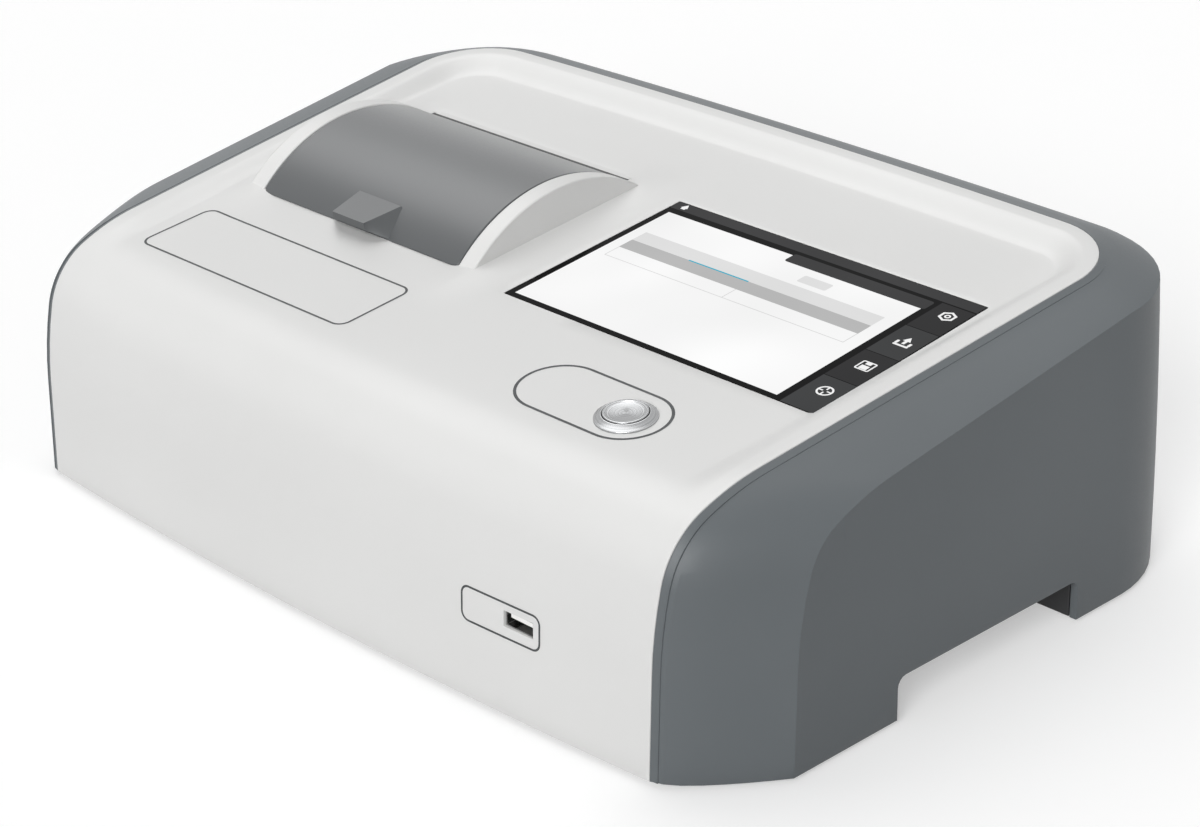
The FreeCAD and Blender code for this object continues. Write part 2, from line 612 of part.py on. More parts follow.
def make_base_tray():
    """The floor of the casing, with seats for the feet and screw heads on its underside."""
    gap = size("liner_wall") + size("fit_gap")
    wide, thick = size("body_width"), size("tray_thick")
    tray = envelope(-size("overrun"), size("casing_wall") + size("tray_gap"))
    tray = tray.common(plain_box(-wide, wide, -wide, wide, 0, thick))
    x, y = size("tray_corner_x"), size("tray_corner_y")
    tools = [plain_box(x, wide, -wide, -y, -thick, 2 * thick), plain_box(-wide, -x, -wide, -y, -thick, 2 * thick)]
    tools += grip_boxes(size("grip_depth") + gap, size("grip_height") + gap, -gap, -gap)
    for side in (-1, 1):
        for y in (-size("post_front"), size("post_back")):
            place = Vector(side * size("post_side"), y, 0)
            tools.append(Part.makeCylinder(size("base_screw_head") + size("screw_fit"),
                                           size("base_screw_thick"), place))
            tools.append(Part.makeCylinder(size("base_screw_radius") + size("screw_fit"), thick, place))
        for y in (-size("foot_front"), size("foot_back")):
            tools.append(Part.makeCylinder(size("foot_radius") + size("screw_fit"), size("foot_seat"),
                                           Vector(side * size("foot_side"), y, 0)))
    tray = tray.cut(tools)
    tray.translate(Vector(0, 0, size("foot_drop")))
    return node(feature("BaseTray", tray), "base_tray")


def make_grip_liners():
    """The dark pans behind the hand recesses."""
    wall, gap = size("liner_wall"), size("fit_gap")
    depth, height = size("grip_depth"), size("grip_height")
    inside = envelope(-size("overrun"), size("casing_wall") + gap)
    wide = size("body_width")
    inside = inside.common(plain_box(-wide, wide, -wide, wide, 0, wide))
    pans = [pan.common(inside).cut(hollow) for pan, hollow in
            zip(grip_boxes(depth + wall, height + wall, -wall, -wall), grip_boxes(depth, height, 0.0, 0.0))]
    liners = Part.makeCompound(pans)
    liners.translate(Vector(0, 0, size("foot_drop")))
    return node(feature("GripLiners", liners), "grip_liners")


def four(name, side, front, back, make):
    """Four alike pieces, mirrored left and right."""
    pieces = []
    for number, (x, y) in enumerate(((f"-{side}", f"-{front}"), (side, f"-{front}"),
                                     (f"-{side}", back), (side, back))):
        pieces.append(make(f"{name}{number}", x, y))
    return pieces


def make_feet():
    feet = four("Foot", "foot_side", "foot_front", "foot_back",
                lambda name, x, y: rod(name, "Z", "foot_radius", "foot_drop + foot_seat", x, y, "0"))
    return node(group("RubberFeet", *feet), "rubber_feet")


def make_posts():
    """Posts that carry the top cover, and the screws up into them from below the tray."""
    posts = []
    for number, (x, y) in enumerate((("-post_side", "(-post_front)"), ("post_side", "(-post_front)"),
                                     ("-post_side", "post_back"), ("post_side", "post_back"))):
        under = (f"deck_height + tan(deck_tilt * 1deg) * ({y} - post_radius)"
                 " - (cap_wall + fit_gap) / cos(deck_tilt * 1deg) - tray_thick")
        post = rod(f"Post{number}", "Z", "post_radius", under, x, y, TRAY_TOP)
        bore = rod(f"PostBore{number}", "Z", "base_screw_radius + screw_fit", "base_screw_length", x, y,
                   TRAY_TOP)
        posts.append(cut(f"BoredPost{number}", post, bore))
    node(group("CoverPosts", *posts), "cover_posts")

    def screw(name, x, y):
        head = rod(f"{name}Head", "Z", "base_screw_head", "base_screw_thick", x, y, "foot_drop")
        shank = rod(f"{name}Shank", "Z", "base_screw_radius", "base_screw_length", x, y,
                    "foot_drop + base_screw_thick")
        return union(name, head, shank)

    screws = four("BaseScrew", "post_side", "post_front", "post_back", screw)
    return node(group("BaseScrews", *screws), "base_screws")


def make_lid():
    """The curved cover: a slice of tube that turns about an axis under the deck."""
    long = "lid_right - lid_left"
    outer = rod("LidOuter", "X", "lid_radius", long, "lid_left", "lid_s", "-lid_depth")
    inner = rod("LidInner", "X", "lid_radius - lid_wall", long, "lid_left", "lid_s", "-lid_depth")
    ring = cut("LidRing", outer, inner)
    front = block("LidFront", "lid_left", "lid_right", "lid_s - lid_radius", "lid_s", "lid_lift", "lid_radius")
    back = block("LidBack", "lid_left", "lid_right", "lid_s", "lid_s + lid_radius", "-lid_tail", "lid_radius")
    return node(on_deck(common("SampleLid", ring, union("LidSpan", front, back))), "sample_lid")


def make_tab():
    """The flared finger tab that grows out of the lid just above its front edge."""
    front, _ = lid_edges()
    x, half = size("tab_x"), size("tab_half")
    low, high = size("tab_low"), size("tab_low") + size("tab_thick")
    tip = front - size("tab_reach")
    root = front + size("tab_root")
    wide, narrow = size("tab_root_wide"), size("tab_root_narrow")
    deep, tall = -size("tab_root_low"), size("tab_root_high")
    lip = [Vector(x - half, tip, low), Vector(x + half, tip, low), Vector(x + half, tip, high),
           Vector(x - half, tip, high)]
    base = [Vector(x - wide, root, deep), Vector(x + wide, root, deep), Vector(x + narrow, root, tall),
            Vector(x - narrow, root, tall)]
    wires = [Part.makePolygon(points + points[:1]) for points in (lip, base)]
    long = size("lid_right") - size("lid_left")
    tube = Part.makeCylinder(size("lid_radius"), long,
                             Vector(size("lid_left"), size("lid_s"), -size("lid_depth")), Vector(1, 0, 0))
    above = plain_box(size("lid_left"), size("lid_right"), tip, root, size("lid_lift"), size("lid_radius"))
    tab = loft(wires, True).cut(tube).common(above)
    return node(on_deck(feature("LidFingerTab", tab)), "lid_finger_tab")


def make_arm(name, label, x0, x1):
    """An end plate of the lid, with the arm down to the hub that it turns on."""
    radius = "lid_radius - lid_wall - pin_fit"
    thick = f"({x1}) - ({x0})"
    disc = rod(f"{name}Disc", "X", radius, thick, x0, "lid_s", "-lid_depth")
    upper = block(f"{name}Upper", x0, x1, "lid_s - lid_radius", "lid_s + lid_radius", "lid_lift", "lid_radius")
    neck = block(f"{name}Neck", x0, x1, *around("lid_s", "arm_width"), "-lid_depth", "lid_lift")
    plate_shape = common(f"{name}Plate", disc, union(f"{name}Outline", upper, neck))
    hub = rod(f"{name}Hub", "X", "arm_width / 2", thick, x0, "lid_s", "-lid_depth")
    bore = rod(f"{name}Bore", "X", "pin_radius + pin_fit", thick, x0, "lid_s", "-lid_depth")
    return node(on_deck(cut(name, union(f"{name}Solid", plate_shape, hub), bore)), label)


def make_chamber():
    """The open sample well, its windows, the pins in its side walls and the cell holder in it."""
    long = "lid_right - lid_left"
    outer = block("ChamberOuter", CHAMBER_LEFT, CHAMBER_RIGHT, "chamber_front", "chamber_back",
                  "-chamber_floor", CHAMBER_TOP)
    inner = block("ChamberInner", f"{CHAMBER_LEFT} + chamber_wall", f"{CHAMBER_RIGHT} - chamber_wall",
                  "chamber_front + chamber_wall", "chamber_back - chamber_wall", HOLDER_LOW, "overrun")
    beam = rod("ChamberBeam", "X", "window_radius", long, "lid_left", "beam_s", "-beam_depth")
    pins = rod("ChamberPins", "X", "pin_radius + screw_fit", long, "lid_left", "lid_s", "-lid_depth")
    node(on_deck(cut("SampleChamber", outer, inner, beam, pins)), "sample_chamber")

    left = rod("WindowLeft", "X", "window_radius - window_fit", "chamber_wall", CHAMBER_LEFT, "beam_s",
               "-beam_depth")
    right = rod("WindowRight", "X", "window_radius - window_fit", "chamber_wall",
                f"{CHAMBER_RIGHT} - chamber_wall", "beam_s", "-beam_depth")
    node(on_deck(group("ChamberWindows", left, right)), "chamber_windows")

    pin_long = "arm_inset + arm_thick + chamber_gap + chamber_wall"
    left = rod("PinLeft", "X", "pin_radius", pin_long, "lid_left", "lid_s", "-lid_depth")
    right = rod("PinRight", "X", "pin_radius", pin_long, f"lid_right - ({pin_long})", "lid_s", "-lid_depth")
    node(on_deck(group("LidPivotPins", left, right)), "lid_pivot_pins")

    middle = "(lid_left + lid_right) / 2"
    holder = block("HolderBlock", *around(middle, "holder_length"), *around("beam_s", "holder_width"),
                   HOLDER_LOW, f"{HOLDER_LOW} + holder_height")
    slot = block("HolderSlot", *around(middle, "cell_length"), *around("beam_s", "cell_width"),
                 f"{HOLDER_LOW} + holder_floor", "overrun")
    light = rod("HolderBeam", "X", "beam_radius", long, "lid_left", "beam_s", "-beam_depth")
    node(on_deck(cut("CuvetteHolder", holder, slot, light)), "cuvette_holder")

    body = block("StandBlock", f"{CHAMBER_LEFT} + stand_inset", f"{CHAMBER_RIGHT} - stand_inset",
                 "stand_front", "stand_back", BENCH_TOP, "deck_height")
    tunnel = block("StandTunnel", CHAMBER_LEFT, CHAMBER_RIGHT, "stand_front + stand_wall",
                   "stand_back - stand_wall", BENCH_TOP, f"{BENCH_TOP} + stand_window")
    well = on_deck(group("StandWell", block("StandTop", "lid_left", "lid_right", "-lid_radius", "lid_radius",
                                            "-chamber_floor", "overrun")))
    return node(cut("ChamberStand", body, tunnel, well), "chamber_stand")


def make_bench():
    """The optical bench on its soft mounts."""
    bench = plate("OpticalBench", "bench_thick", ("bench_left", "bench_right", "bench_front", "bench_back"))
    node(raise_body(bench, "foot_drop + bench_low"), "optical_bench")
    mounts = [rod(f"Damper{number}", "Z", "damper_radius", "bench_low - tray_thick", x, y, TRAY_TOP)
              for number, (x, y) in enumerate((x, y) for x in ("bench_left + damper_inset",
                                                               "bench_right - damper_inset")
                                              for y in ("bench_front + damper_inset",
                                                        "bench_back - damper_inset"))]
    return node(group("BenchDampers", *mounts), "bench_dampers")


def make_lamp():
    right = "lid_left - lamp_gap"
    left = f"{right} - lamp_width"
    outer = block("LampOuter", left, right, *around(BEAM_Y, "lamp_depth"), *around(BEAM_Z, "lamp_height"))
    foot = block("LampFoot", f"{right} - lamp_foot", right, *around(BEAM_Y, "lamp_foot"), BENCH_TOP,
                 f"{BEAM_Z} - lamp_height / 2")
    inner = block("LampInner", f"{left} + lamp_wall", f"{right} - lamp_wall",
                  *around(BEAM_Y, "lamp_depth - 2 * lamp_wall"), *around(BEAM_Z, "lamp_height - 2 * lamp_wall"))
    light = rod("LampBeam", "X", "beam_radius", "lamp_width / 2", f"{right} - lamp_width / 2", BEAM_Y, BEAM_Z)
    node(cut("LampHousing", union("LampSolid", outer, foot), inner, light), "lamp_housing")
    bulb = DOC.addObject("Part::Sphere", "BulbGlass")
    bind(bulb, "Radius", "lamp_bulb_radius")
    middle = f"{right} - lamp_width / 2"
    for axis, words in zip("xyz", (middle, BEAM_Y, BEAM_Z)):
        bind(bulb, f"Placement.Base.{axis}", words)
    base = rod("BulbBase", "Z", "lamp_bulb_radius / 2", "lamp_height / 2 - lamp_wall", middle, BEAM_Y,
               f"{BEAM_Z} - lamp_height / 2 + lamp_wall")
    return node(union("LampBulb", bulb, base), "lamp_bulb")


def make_sphere():
    """The integrating sphere on its pedestal, with a port on either side."""
    balls = []
    for name, radius in (("SphereOuter", "sphere_radius"), ("SphereInner", "sphere_radius - sphere_wall")):
        ball = DOC.addObject("Part::Sphere", name)
        bind(ball, "Radius", radius)
        for axis, words in zip("xyz", (SPHERE_X, BEAM_Y, BEAM_Z)):
            bind(ball, f"Placement.Base.{axis}", words)
        balls.append(ball)
    pedestal = block("SpherePedestal", *around(SPHERE_X, "2 * pedestal"), *around(BEAM_Y, "2 * pedestal"),
                     BENCH_TOP, BEAM_Z)
    ports = rod("SpherePorts", "X", "beam_radius", "2 * sphere_radius", f"{SPHERE_X} - sphere_radius", BEAM_Y,
                BEAM_Z)
    return node(cut("IntegratingSphere", union("SphereSolid", balls[0], pedestal), balls[1], ports),
                "integrating_sphere")


def make_spectrometer():
    right = f"{METER_LEFT} + meter_length"
    top = "foot_drop + deck_height - meter_drop"
    sides = around(BEAM_Y, "meter_depth")
    outer = block("MeterOuter", METER_LEFT, right, *sides, BENCH_TOP, top)
    inner = block("MeterInner", f"{METER_LEFT} + meter_wall", f"{right} - meter_wall",
                  *around(BEAM_Y, "meter_depth - 2 * meter_wall"), f"{BENCH_TOP} + meter_wall",
                  f"{top} + overrun")
    light = rod("MeterBeam", "X", "beam_radius", "2 * meter_wall", METER_LEFT, BEAM_Y, BEAM_Z)
    node(cut("SpectrometerBox", outer, inner, light), "spectrometer_box")
    node(group("SpectrometerCover", block("MeterLid", METER_LEFT, right, *sides, top, f"{top} + meter_lid")),
         "spectrometer_cover")
    grating = block("Grating", f"{right} - meter_wall - grating_thick", f"{right} - meter_wall",
                    *around(BEAM_Y, "grating_size"), *around(BEAM_Z, "grating_size"))
    sensor = block("LineSensor", f"{METER_LEFT} + meter_wall", f"{METER_LEFT} + meter_wall + sensor_thick",
                   f"{BEAM_Y} + sensor_shift", f"{BEAM_Y} + sensor_shift + sensor_width",
                   *around(BEAM_Z, "sensor_height"))
    return node(group("SpectrometerOptics", grating, sensor), "spectrometer_optics")


def make_screen():
    """Touch glass in the deck's pocket, the display against it, and what holds the display."""
    glass = plate("TouchGlass", "glass_thick", ("glass_left + glass_gap", "glass_right - glass_gap",
                                                "glass_low + glass_gap", "glass_high - glass_gap"))
    glass.Tip.Reversed = True
    node(on_deck(glass), "touch_glass")
    panel = ("glass_left + view_inset + fit_gap", "glass_right - view_inset - fit_gap",
             "glass_low + view_inset + fit_gap", "glass_high - view_inset - fit_gap")
    low = "(-glass_thick - panel_thick)"
    node(on_deck(group("DisplayPanel", block("PanelBlock", *panel, low, "-glass_thick"))), "display_panel")
    under = "-cap_wall - fit_gap"
    outer = block("FrameOuter", "glass_left + view_inset - frame_border",
                  "glass_right - view_inset + frame_border", "glass_low + view_inset - frame_border",
                  "glass_high - view_inset + frame_border", f"{under} - frame_thick", under)
    inner = block("FrameInner", "glass_left + view_inset", "glass_right - view_inset",
                  "glass_low + view_inset", "glass_high - view_inset", f"{under} - 2 * frame_thick", "0")
    node(on_deck(cut("DisplayFrame", outer, inner)), "display_frame")
    board = block("ScreenBoard", "glass_left + screen_board_inset", "glass_right - screen_board_inset",
                  "glass_low + screen_board_inset", "glass_high - screen_board_inset",
                  f"{low} - screen_board_thick", low)
    return node(on_deck(group("DisplayBoard", board)), "display_board")


def make_button():
    """A push button of the 22 mm class: bezel with threaded tube, cap, contact block and nut."""
    place = ("button_x", "button_s")
    flange = rod("ButtonFlange", "Z", "bezel_radius", "bezel_height", *place, "0")
    tube = rod("ButtonTube", "Z", "button_body_radius", "button_tube", *place, "-button_tube")
    bore = rod("ButtonBore", "Z", "button_bore", "button_tube + bezel_height", *place, "-button_tube")
    node(on_deck(cut("ButtonBezel", union("BezelSolid", flange, tube), bore)), "button_bezel")
    cap = rod("CapRod", "Z", "button_cap_radius", "button_cap_deep", *place, "button_stand - button_cap_deep")
    node(on_deck(group("ButtonCap", cap)), "button_cap")
    plug = rod("BlockPlug", "Z", "button_bore - panel_fit", "button_tube - button_seat", *place, "-button_tube")
    disc = rod("BlockDisc", "Z", "button_body_radius", "button_block", *place, "-button_tube - button_block")
    pins = [rod(f"ButtonPin{number}", "Z", "button_pin_radius", "button_pin_length",
                f"button_x + {x} * button_pin_pitch", f"button_s + {s} * button_pin_pitch",
                "-button_tube - button_block - button_pin_length")
            for number, (x, s) in enumerate(((-1, -1), (1, -1), (-1, 1), (1, 1)))]
    node(on_deck(union("ButtonBlock", plug, disc, *pins)), "button_block")
    prism = DOC.addObject("Part::Prism", "NutPrism")
    prism.Polygon = 6
    bind(prism, "Circumradius", "button_nut_radius")
    bind(prism, "Height", "button_nut_thick")
    bind(prism, "Placement.Base.x", "button_x")
    bind(prism, "Placement.Base.y", "button_s")
    bind(prism, "Placement.Base.z", "-cap_wall - fit_gap - button_nut_thick")
    hole = rod("NutHole", "Z", "button_body_radius + thread_fit", "button_tube", *place, "-button_tube")
    return node(on_deck(cut("ButtonNut", prism, hole)), "button_nut")


def make_usb():
    """The socket in the front face, on its own small board."""
    z = "(foot_drop + usb_z)"
    end = f"{PORT_FRONT} + usb_length"
    outer = block("UsbOuter", *around("usb_x", "usb_width + 2 * usb_shell"), PORT_FRONT, end,
                  *around(z, "usb_height + 2 * usb_shell"))
    inner = block("UsbInner", *around("usb_x", "usb_width"), f"{PORT_FRONT} - overrun", f"{end} - usb_back",
                  *around(z, "usb_height"))
    node(cut("UsbPort", outer, inner), "usb_port")
    top = f"{z} + usb_height / 2 - usb_tongue_drop"
    tongue = block("UsbTongueBlock", *around("usb_x", "usb_tongue_width"), f"{PORT_FRONT} + usb_tongue_short",
                   f"{end} - usb_back", f"{top} - usb_tongue", top)
    node(group("UsbTongue", tongue), "usb_tongue")
    front = f"{PORT_FRONT} + usb_board_front"
    board = block("UsbBoardBlock", *around("usb_x", "usb_board_width"), front, f"{front} + usb_board_length",
                  f"{USB_BOARD_TOP} - board_thick", USB_BOARD_TOP)
    node(group("UsbBoard", board), "usb_board")
    near = f"{front} + usb_stand_inset"
    stand = block("UsbStandBlock", *around("usb_x", "usb_board_width - 2 * usb_stand_inset"), near,
                  f"{near} + usb_stand_length", TRAY_TOP, f"{USB_BOARD_TOP} - board_thick")
    return node(group("UsbStand", stand), "usb_stand")


def make_main_board():
    """The main board on four standoffs, with two chips and a finned cooler on one of them."""
    xs = ("main_left + standoff_inset", "main_right - standoff_inset")
    ys = ("main_front + standoff_inset", "main_back - standoff_inset")
    places = [(x, y) for x in xs for y in ys]
    board = plate("MainBoard", "board_thick", ("main_left", "main_right", "main_front", "main_back"),
                  holes=[("screw_radius + screw_fit", x, y) for x, y in places])
    node(raise_body(board, "foot_drop + main_low"), "main_board")
    standoffs, screws = [], []
    for number, (x, y) in enumerate(places):
        post = rod(f"Standoff{number}", "Z", "standoff_radius", "main_low - tray_thick", x, y, TRAY_TOP)
        bore = rod(f"StandoffBore{number}", "Z", "screw_radius + screw_fit", "screw_grip", x, y,
                   f"{MAIN_TOP} - board_thick - screw_grip")
        standoffs.append(cut(f"BoredStandoff{number}", post, bore))
        head = rod(f"BoardHead{number}", "Z", "screw_head", "screw_head_thick", x, y, MAIN_TOP)
        shank = rod(f"BoardShank{number}", "Z", "screw_radius", "screw_grip + board_thick", x, y,
                    f"{MAIN_TOP} - board_thick - screw_grip")
        screws.append(union(f"BoardScrew{number}", head, shank))
    node(group("BoardStandoffs", *standoffs), "board_standoffs")
    node(group("BoardScrews", *screws), "board_screws")
    chips = [block(f"Chip{number}", *around("(main_left + main_right) / 2", "chip_size"), *around(y, "chip_size"),
                   MAIN_TOP, f"{MAIN_TOP} + chip_height")
             for number, y in enumerate(("main_front + chip_inset", "main_back - chip_inset"))]
    node(group("BoardChips", *chips), "board_chips")
    low = f"{MAIN_TOP} + chip_height"
    sides = around("main_back - chip_inset", "chip_size")
    base = block("SinkBase", *around("(main_left + main_right) / 2", "chip_size"), *sides, low,
                 f"{low} + sink_base")
    count = int(size("chip_size") // size("sink_pitch")) + 1
    fins = []
    for number in range(count):
        x = f"(main_left + main_right) / 2 - chip_size / 2 + {number} * sink_pitch"
        fins.append(block(f"Fin{number}", x, f"{x} + sink_fin", *sides, f"{low} + sink_base",
                          f"{low} + sink_height"))
    return node(union("HeatSink", base, *fins), "heat_sink")


def make_supply():
    """The sheet-metal power supply with a row of vents in its top."""
    top = f"{TRAY_TOP} + supply_height"
    outer = block("SupplyOuter", "supply_left", "supply_right", "supply_front", "supply_back", TRAY_TOP, top)
    inner = block("SupplyInner", "supply_left + supply_wall", "supply_right - supply_wall",
                  "supply_front + supply_wall", "supply_back - supply_wall", f"{TRAY_TOP} + supply_wall",
                  f"{top} - supply_wall")
    vents = []
    count = int((size("supply_back") - size("supply_front")) // size("supply_vent_pitch")) - 1
    for number in range(count):
        y = f"supply_front + {number + 1} * supply_vent_pitch"
        vents.append(block(f"Vent{number}", "supply_left + supply_vent_pitch", "supply_right - supply_vent_pitch",
                           y, f"{y} + supply_vent", f"{top} - 2 * supply_wall", f"{top} + supply_wall"))
    return node(cut("PowerSupply", outer, inner, *vents), "power_supply")


def make_rear_panel():
    """The connector panel behind the opening in the casing's back, with its four screws."""
    out = "(panel_lap - panel_screw_inset)"
    places = [(x, z) for x in (f"panel_left - {out}", f"panel_right + {out}")
              for z in (f"panel_low - {out}", f"panel_high + {out}")]
    windows = [(*around("inlet_x", "inlet_width + 2 * panel_fit"), *around("rear_z", "inlet_height + 2 * panel_fit")),
               (*around("switch_x", "switch_width + 2 * panel_fit"),
                *around("rear_z", "switch_height + 2 * panel_fit")),
               (*around("port_x", "port_width + 2 * panel_fit"), *around("rear_z", "port_height + 2 * panel_fit"))]
    panel = plate("RearPanel", "panel_sheet",
                  ("panel_left - panel_lap", "panel_right + panel_lap", "panel_low - panel_lap",
                   "panel_high + panel_lap"), windows,
                  [("screw_radius + screw_fit", x, z) for x, z in places], "XZ_Plane")
    bind(panel, "Placement.Base.y", BACK_SEAT)
    node(raise_body(panel, "foot_drop"), "rear_panel")
    screws = []
    for number, (x, z) in enumerate(places):
        head = rod(f"PanelHead{number}", "Y", "screw_head", "screw_head_thick", x,
                   f"{BACK_SEAT} - panel_sheet - screw_head_thick", f"foot_drop + {z}")
        shank = rod(f"PanelShank{number}", "Y", "screw_radius", "panel_sheet + panel_screw_deep", x,
                    f"{BACK_SEAT} - panel_sheet", f"foot_drop + {z}")
        screws.append(union(f"PanelScrew{number}", head, shank))
    return node(group("RearPanelScrews", *screws), "rear_panel_screws")


def make_inlet():
    """The mains inlet, with its three blades standing in it."""
    body = block("InletBody", *around("inlet_x", "inlet_width"), f"{BACK_SEAT} - inlet_depth", BACK_SEAT,
                 *around(REAR, "inlet_height"))
    face = f"{BACK_SEAT} + inlet_flange_thick"
    flange = block("InletFlange", *around("inlet_x", "inlet_width + 2 * inlet_flange"), BACK_SEAT, face,
                   *around(REAR, "inlet_height + 2 * inlet_flange"))
    cavity = block("InletCavity", *around("inlet_x", "inlet_width - 2 * inlet_wall"), f"{face} - inlet_cavity",
                   f"{face} + overrun", *around(REAR, "inlet_height - 2 * inlet_wall"))
    node(cut("PowerInlet", union("InletSolid", body, flange), cavity), "power_inlet")
    blades = []
    for number, (across, up) in enumerate(((-1, -1), (0, 1), (1, -1))):
        blades.append(block(f"Blade{number}", *around(f"(inlet_x + {across} * blade_pitch)", "blade_width"),
                            f"{face} - inlet_cavity", f"{face} - inlet_cavity + blade_length",
                            *around(f"({REAR} + {up} * blade_height / 2)", "blade_height")))
    return node(group("InletBlades", *blades), "inlet_blades")


def make_switch():
    """The rocker switch: frame, axle and the rocker, which rests tipped to one side."""
    body = block("SwitchBody", *around("switch_x", "switch_width"), f"{BACK_SEAT} - switch_depth", BACK_SEAT,
                 *around(REAR, "switch_height"))
    flange = block("SwitchFlange", *around("switch_x", "switch_width + 2 * switch_flange"), BACK_SEAT,
                   f"{BACK_SEAT} + switch_flange_thick", *around(REAR, "switch_height + 2 * switch_flange"))
    cavity = block("SwitchCavity", *around("switch_x", "switch_width - 2 * switch_wall"),
                   f"{BACK_SEAT} - switch_depth + switch_floor", f"{BACK_SEAT} + overrun",
                   *around(REAR, "switch_height - 2 * switch_wall"))
    axis = ("switch_x - switch_width / 2", f"{BACK_SEAT} - rocker_deep", REAR)
    hole = rod("AxleHole", "X", "axle_radius + thread_fit", "switch_width", *axis)
    node(cut("PowerSwitchFrame", union("SwitchSolid", body, flange), cavity, hole), "power_switch_frame")
    node(group("RockerAxle", rod("AxleRod", "X", "axle_radius", "switch_width", *axis)), "rocker_axle")

    half, back = size("rocker_half"), size("rocker_back")
    face = size("rocker_deep") + size("rocker_stand")
    valley = face - half * math.tan(math.radians(size("rocker_facet")))
    outline = [(face, half), (valley, 0), (face, -half), (0, -half), (-back, -half / 2), (-back, half / 2),
               (0, half)]
    width = size("switch_width") - 2 * (size("switch_wall") + size("rocker_gap"))
    points = [Vector(-width / 2, y, z) for y, z in outline]
    rocker = Part.Face(Part.makePolygon(points + points[:1])).extrude(Vector(width, 0, 0))
    rocker = rocker.cut(Part.makeCylinder(size("axle_radius") + size("axle_fit"), width,
                                          Vector(-width / 2, 0, 0), Vector(1, 0, 0)))
    rocker.rotate(Vector(), Vector(1, 0, 0), size("rocker_rest"))
    rocker.translate(Vector(size("switch_x"), panel_seat() - size("rocker_deep"),
                            size("foot_drop") + size("rear_z")))
    return node(feature("PowerSwitchRocker", rocker), "power_switch_rocker")


def make_data_port():
    face = f"{BACK_SEAT} + port_proud"
    outer = block("PortOuter", *around("port_x", "port_width"), f"{face} - port_depth", face,
                  *around(REAR, "port_height"))
    inner = block("PortInner", *around("port_x", "port_width - 2 * port_wall"),
                  f"{face} - port_depth + 2 * port_wall", f"{face} + overrun",
                  *around(REAR, "port_height - 2 * port_wall"))
    tongue = block("PortTongue", *around("port_x", "port_tongue_width"), f"{face} - port_depth + 2 * port_wall",
                   f"{face} - port_tongue_short", *around(REAR, "port_tongue_height"))
    return node(union("RearDataPort", cut("PortShell", outer, inner), tongue), "rear_data_port")


def build():
    make_outer_shell()
    make_top_cover()
    make_base_tray()
    make_grip_liners()
    make_feet()
    make_posts()
    make_lid()
    make_tab()
    inset, thick = "arm_inset", "arm_thick"
    make_arm("LidArmLeft", "lid_arm_left", f"lid_left + {inset}", f"lid_left + {inset} + {thick}")
    make_arm("LidArmRight", "lid_arm_right", f"lid_right - {inset} - {thick}", f"lid_right - {inset}")
    make_chamber()
    make_bench()
    make_lamp()
    make_sphere()
    make_spectrometer()
    make_screen()
    make_button()
    make_usb()
    make_main_board()
    make_supply()
    make_rear_panel()
    make_inlet()
    make_switch()
    make_data_port()
    DOC.recompute()


def check():
    """Stop before anything is written if an object failed or a sub-part is not a sound solid."""
    for thing in DOC.Objects:
        failed = {"Invalid", "Error"} & set(thing.State)
        assert not failed, f"{thing.Name}: {thing.State}"
    for label, thing in PARTS.items():
        shape = thing.Shape
        assert not shape.isNull() and shape.isValid() and shape.Solids, label


build()
check()
os.makedirs("parts", exist_ok=True)
for label, thing in PARTS.items():
    thing.Shape.exportStep(f"parts/{label}.step")
    print(label, len(thing.Shape.Solids), round(thing.Shape.Volume))
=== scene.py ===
# Benchtop colorimeter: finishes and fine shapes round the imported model, and the studio it is in.
# Metres in Blender, millimetres in the values below. +Z is up, -Y is towards the user.
import math
import bmesh
import bpy
from mathutils import Matrix, Vector
from mathutils.bvhtree import BVHTree


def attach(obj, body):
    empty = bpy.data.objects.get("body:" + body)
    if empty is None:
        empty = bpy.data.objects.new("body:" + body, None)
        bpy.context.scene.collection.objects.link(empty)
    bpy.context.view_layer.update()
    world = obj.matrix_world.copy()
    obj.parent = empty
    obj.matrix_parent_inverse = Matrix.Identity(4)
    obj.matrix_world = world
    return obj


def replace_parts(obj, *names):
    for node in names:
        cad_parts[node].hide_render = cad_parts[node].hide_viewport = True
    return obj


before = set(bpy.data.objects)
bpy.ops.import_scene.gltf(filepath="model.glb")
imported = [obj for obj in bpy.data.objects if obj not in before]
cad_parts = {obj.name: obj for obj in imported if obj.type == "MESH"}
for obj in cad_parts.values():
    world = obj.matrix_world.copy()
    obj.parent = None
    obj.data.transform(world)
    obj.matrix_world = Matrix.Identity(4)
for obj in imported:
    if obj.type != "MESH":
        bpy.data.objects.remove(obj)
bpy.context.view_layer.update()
MM = 0.001

# Where the camera stands and how it is turned, in millimetres and degrees, its lens and the width
# of its sensor in millimetres, and how far it sees in metres
CAMERA_PLACE = (704.605, -705.160, 510.368)
CAMERA_YAW, CAMERA_PITCH, CAMERA_ROLL = 44.57927, 25.47382, -0.23123
CAMERA_LENS, CAMERA_SENSOR, CAMERA_REACH = 85.594, 36.0, 50.0

# The deck slopes up to the back. s runs up the slope from over the origin, e stands off it.
DECK_TILT, DECK_HEIGHT = 5.76, 106.1
# Vertices this close are merged, a cut this close to a vertex runs through it, and a vertex this
# close to a line counts as on it
MERGE, CUT, NEAR = 0.001, 0.0001, 0.01


def colour(code):
    """An sRGB hex colour as linear red, green, blue and alpha."""
    shares = [int(code[start:start + 2], 16) / 255 for start in (0, 2, 4)]
    return [v / 12.92 if v <= 0.04045 else ((v + 0.055) / 1.055) ** 2.4 for v in shares] + [1.0]


def fill(material, node, values=None, links=None):
    """Give a node's sockets their values, or links from the outputs of other nodes."""
    for socket, value in (values or {}).items():
        node.inputs[socket].default_value = value
    for socket, source in (links or {}).items():
        material.node_tree.links.new(source, node.inputs[socket])


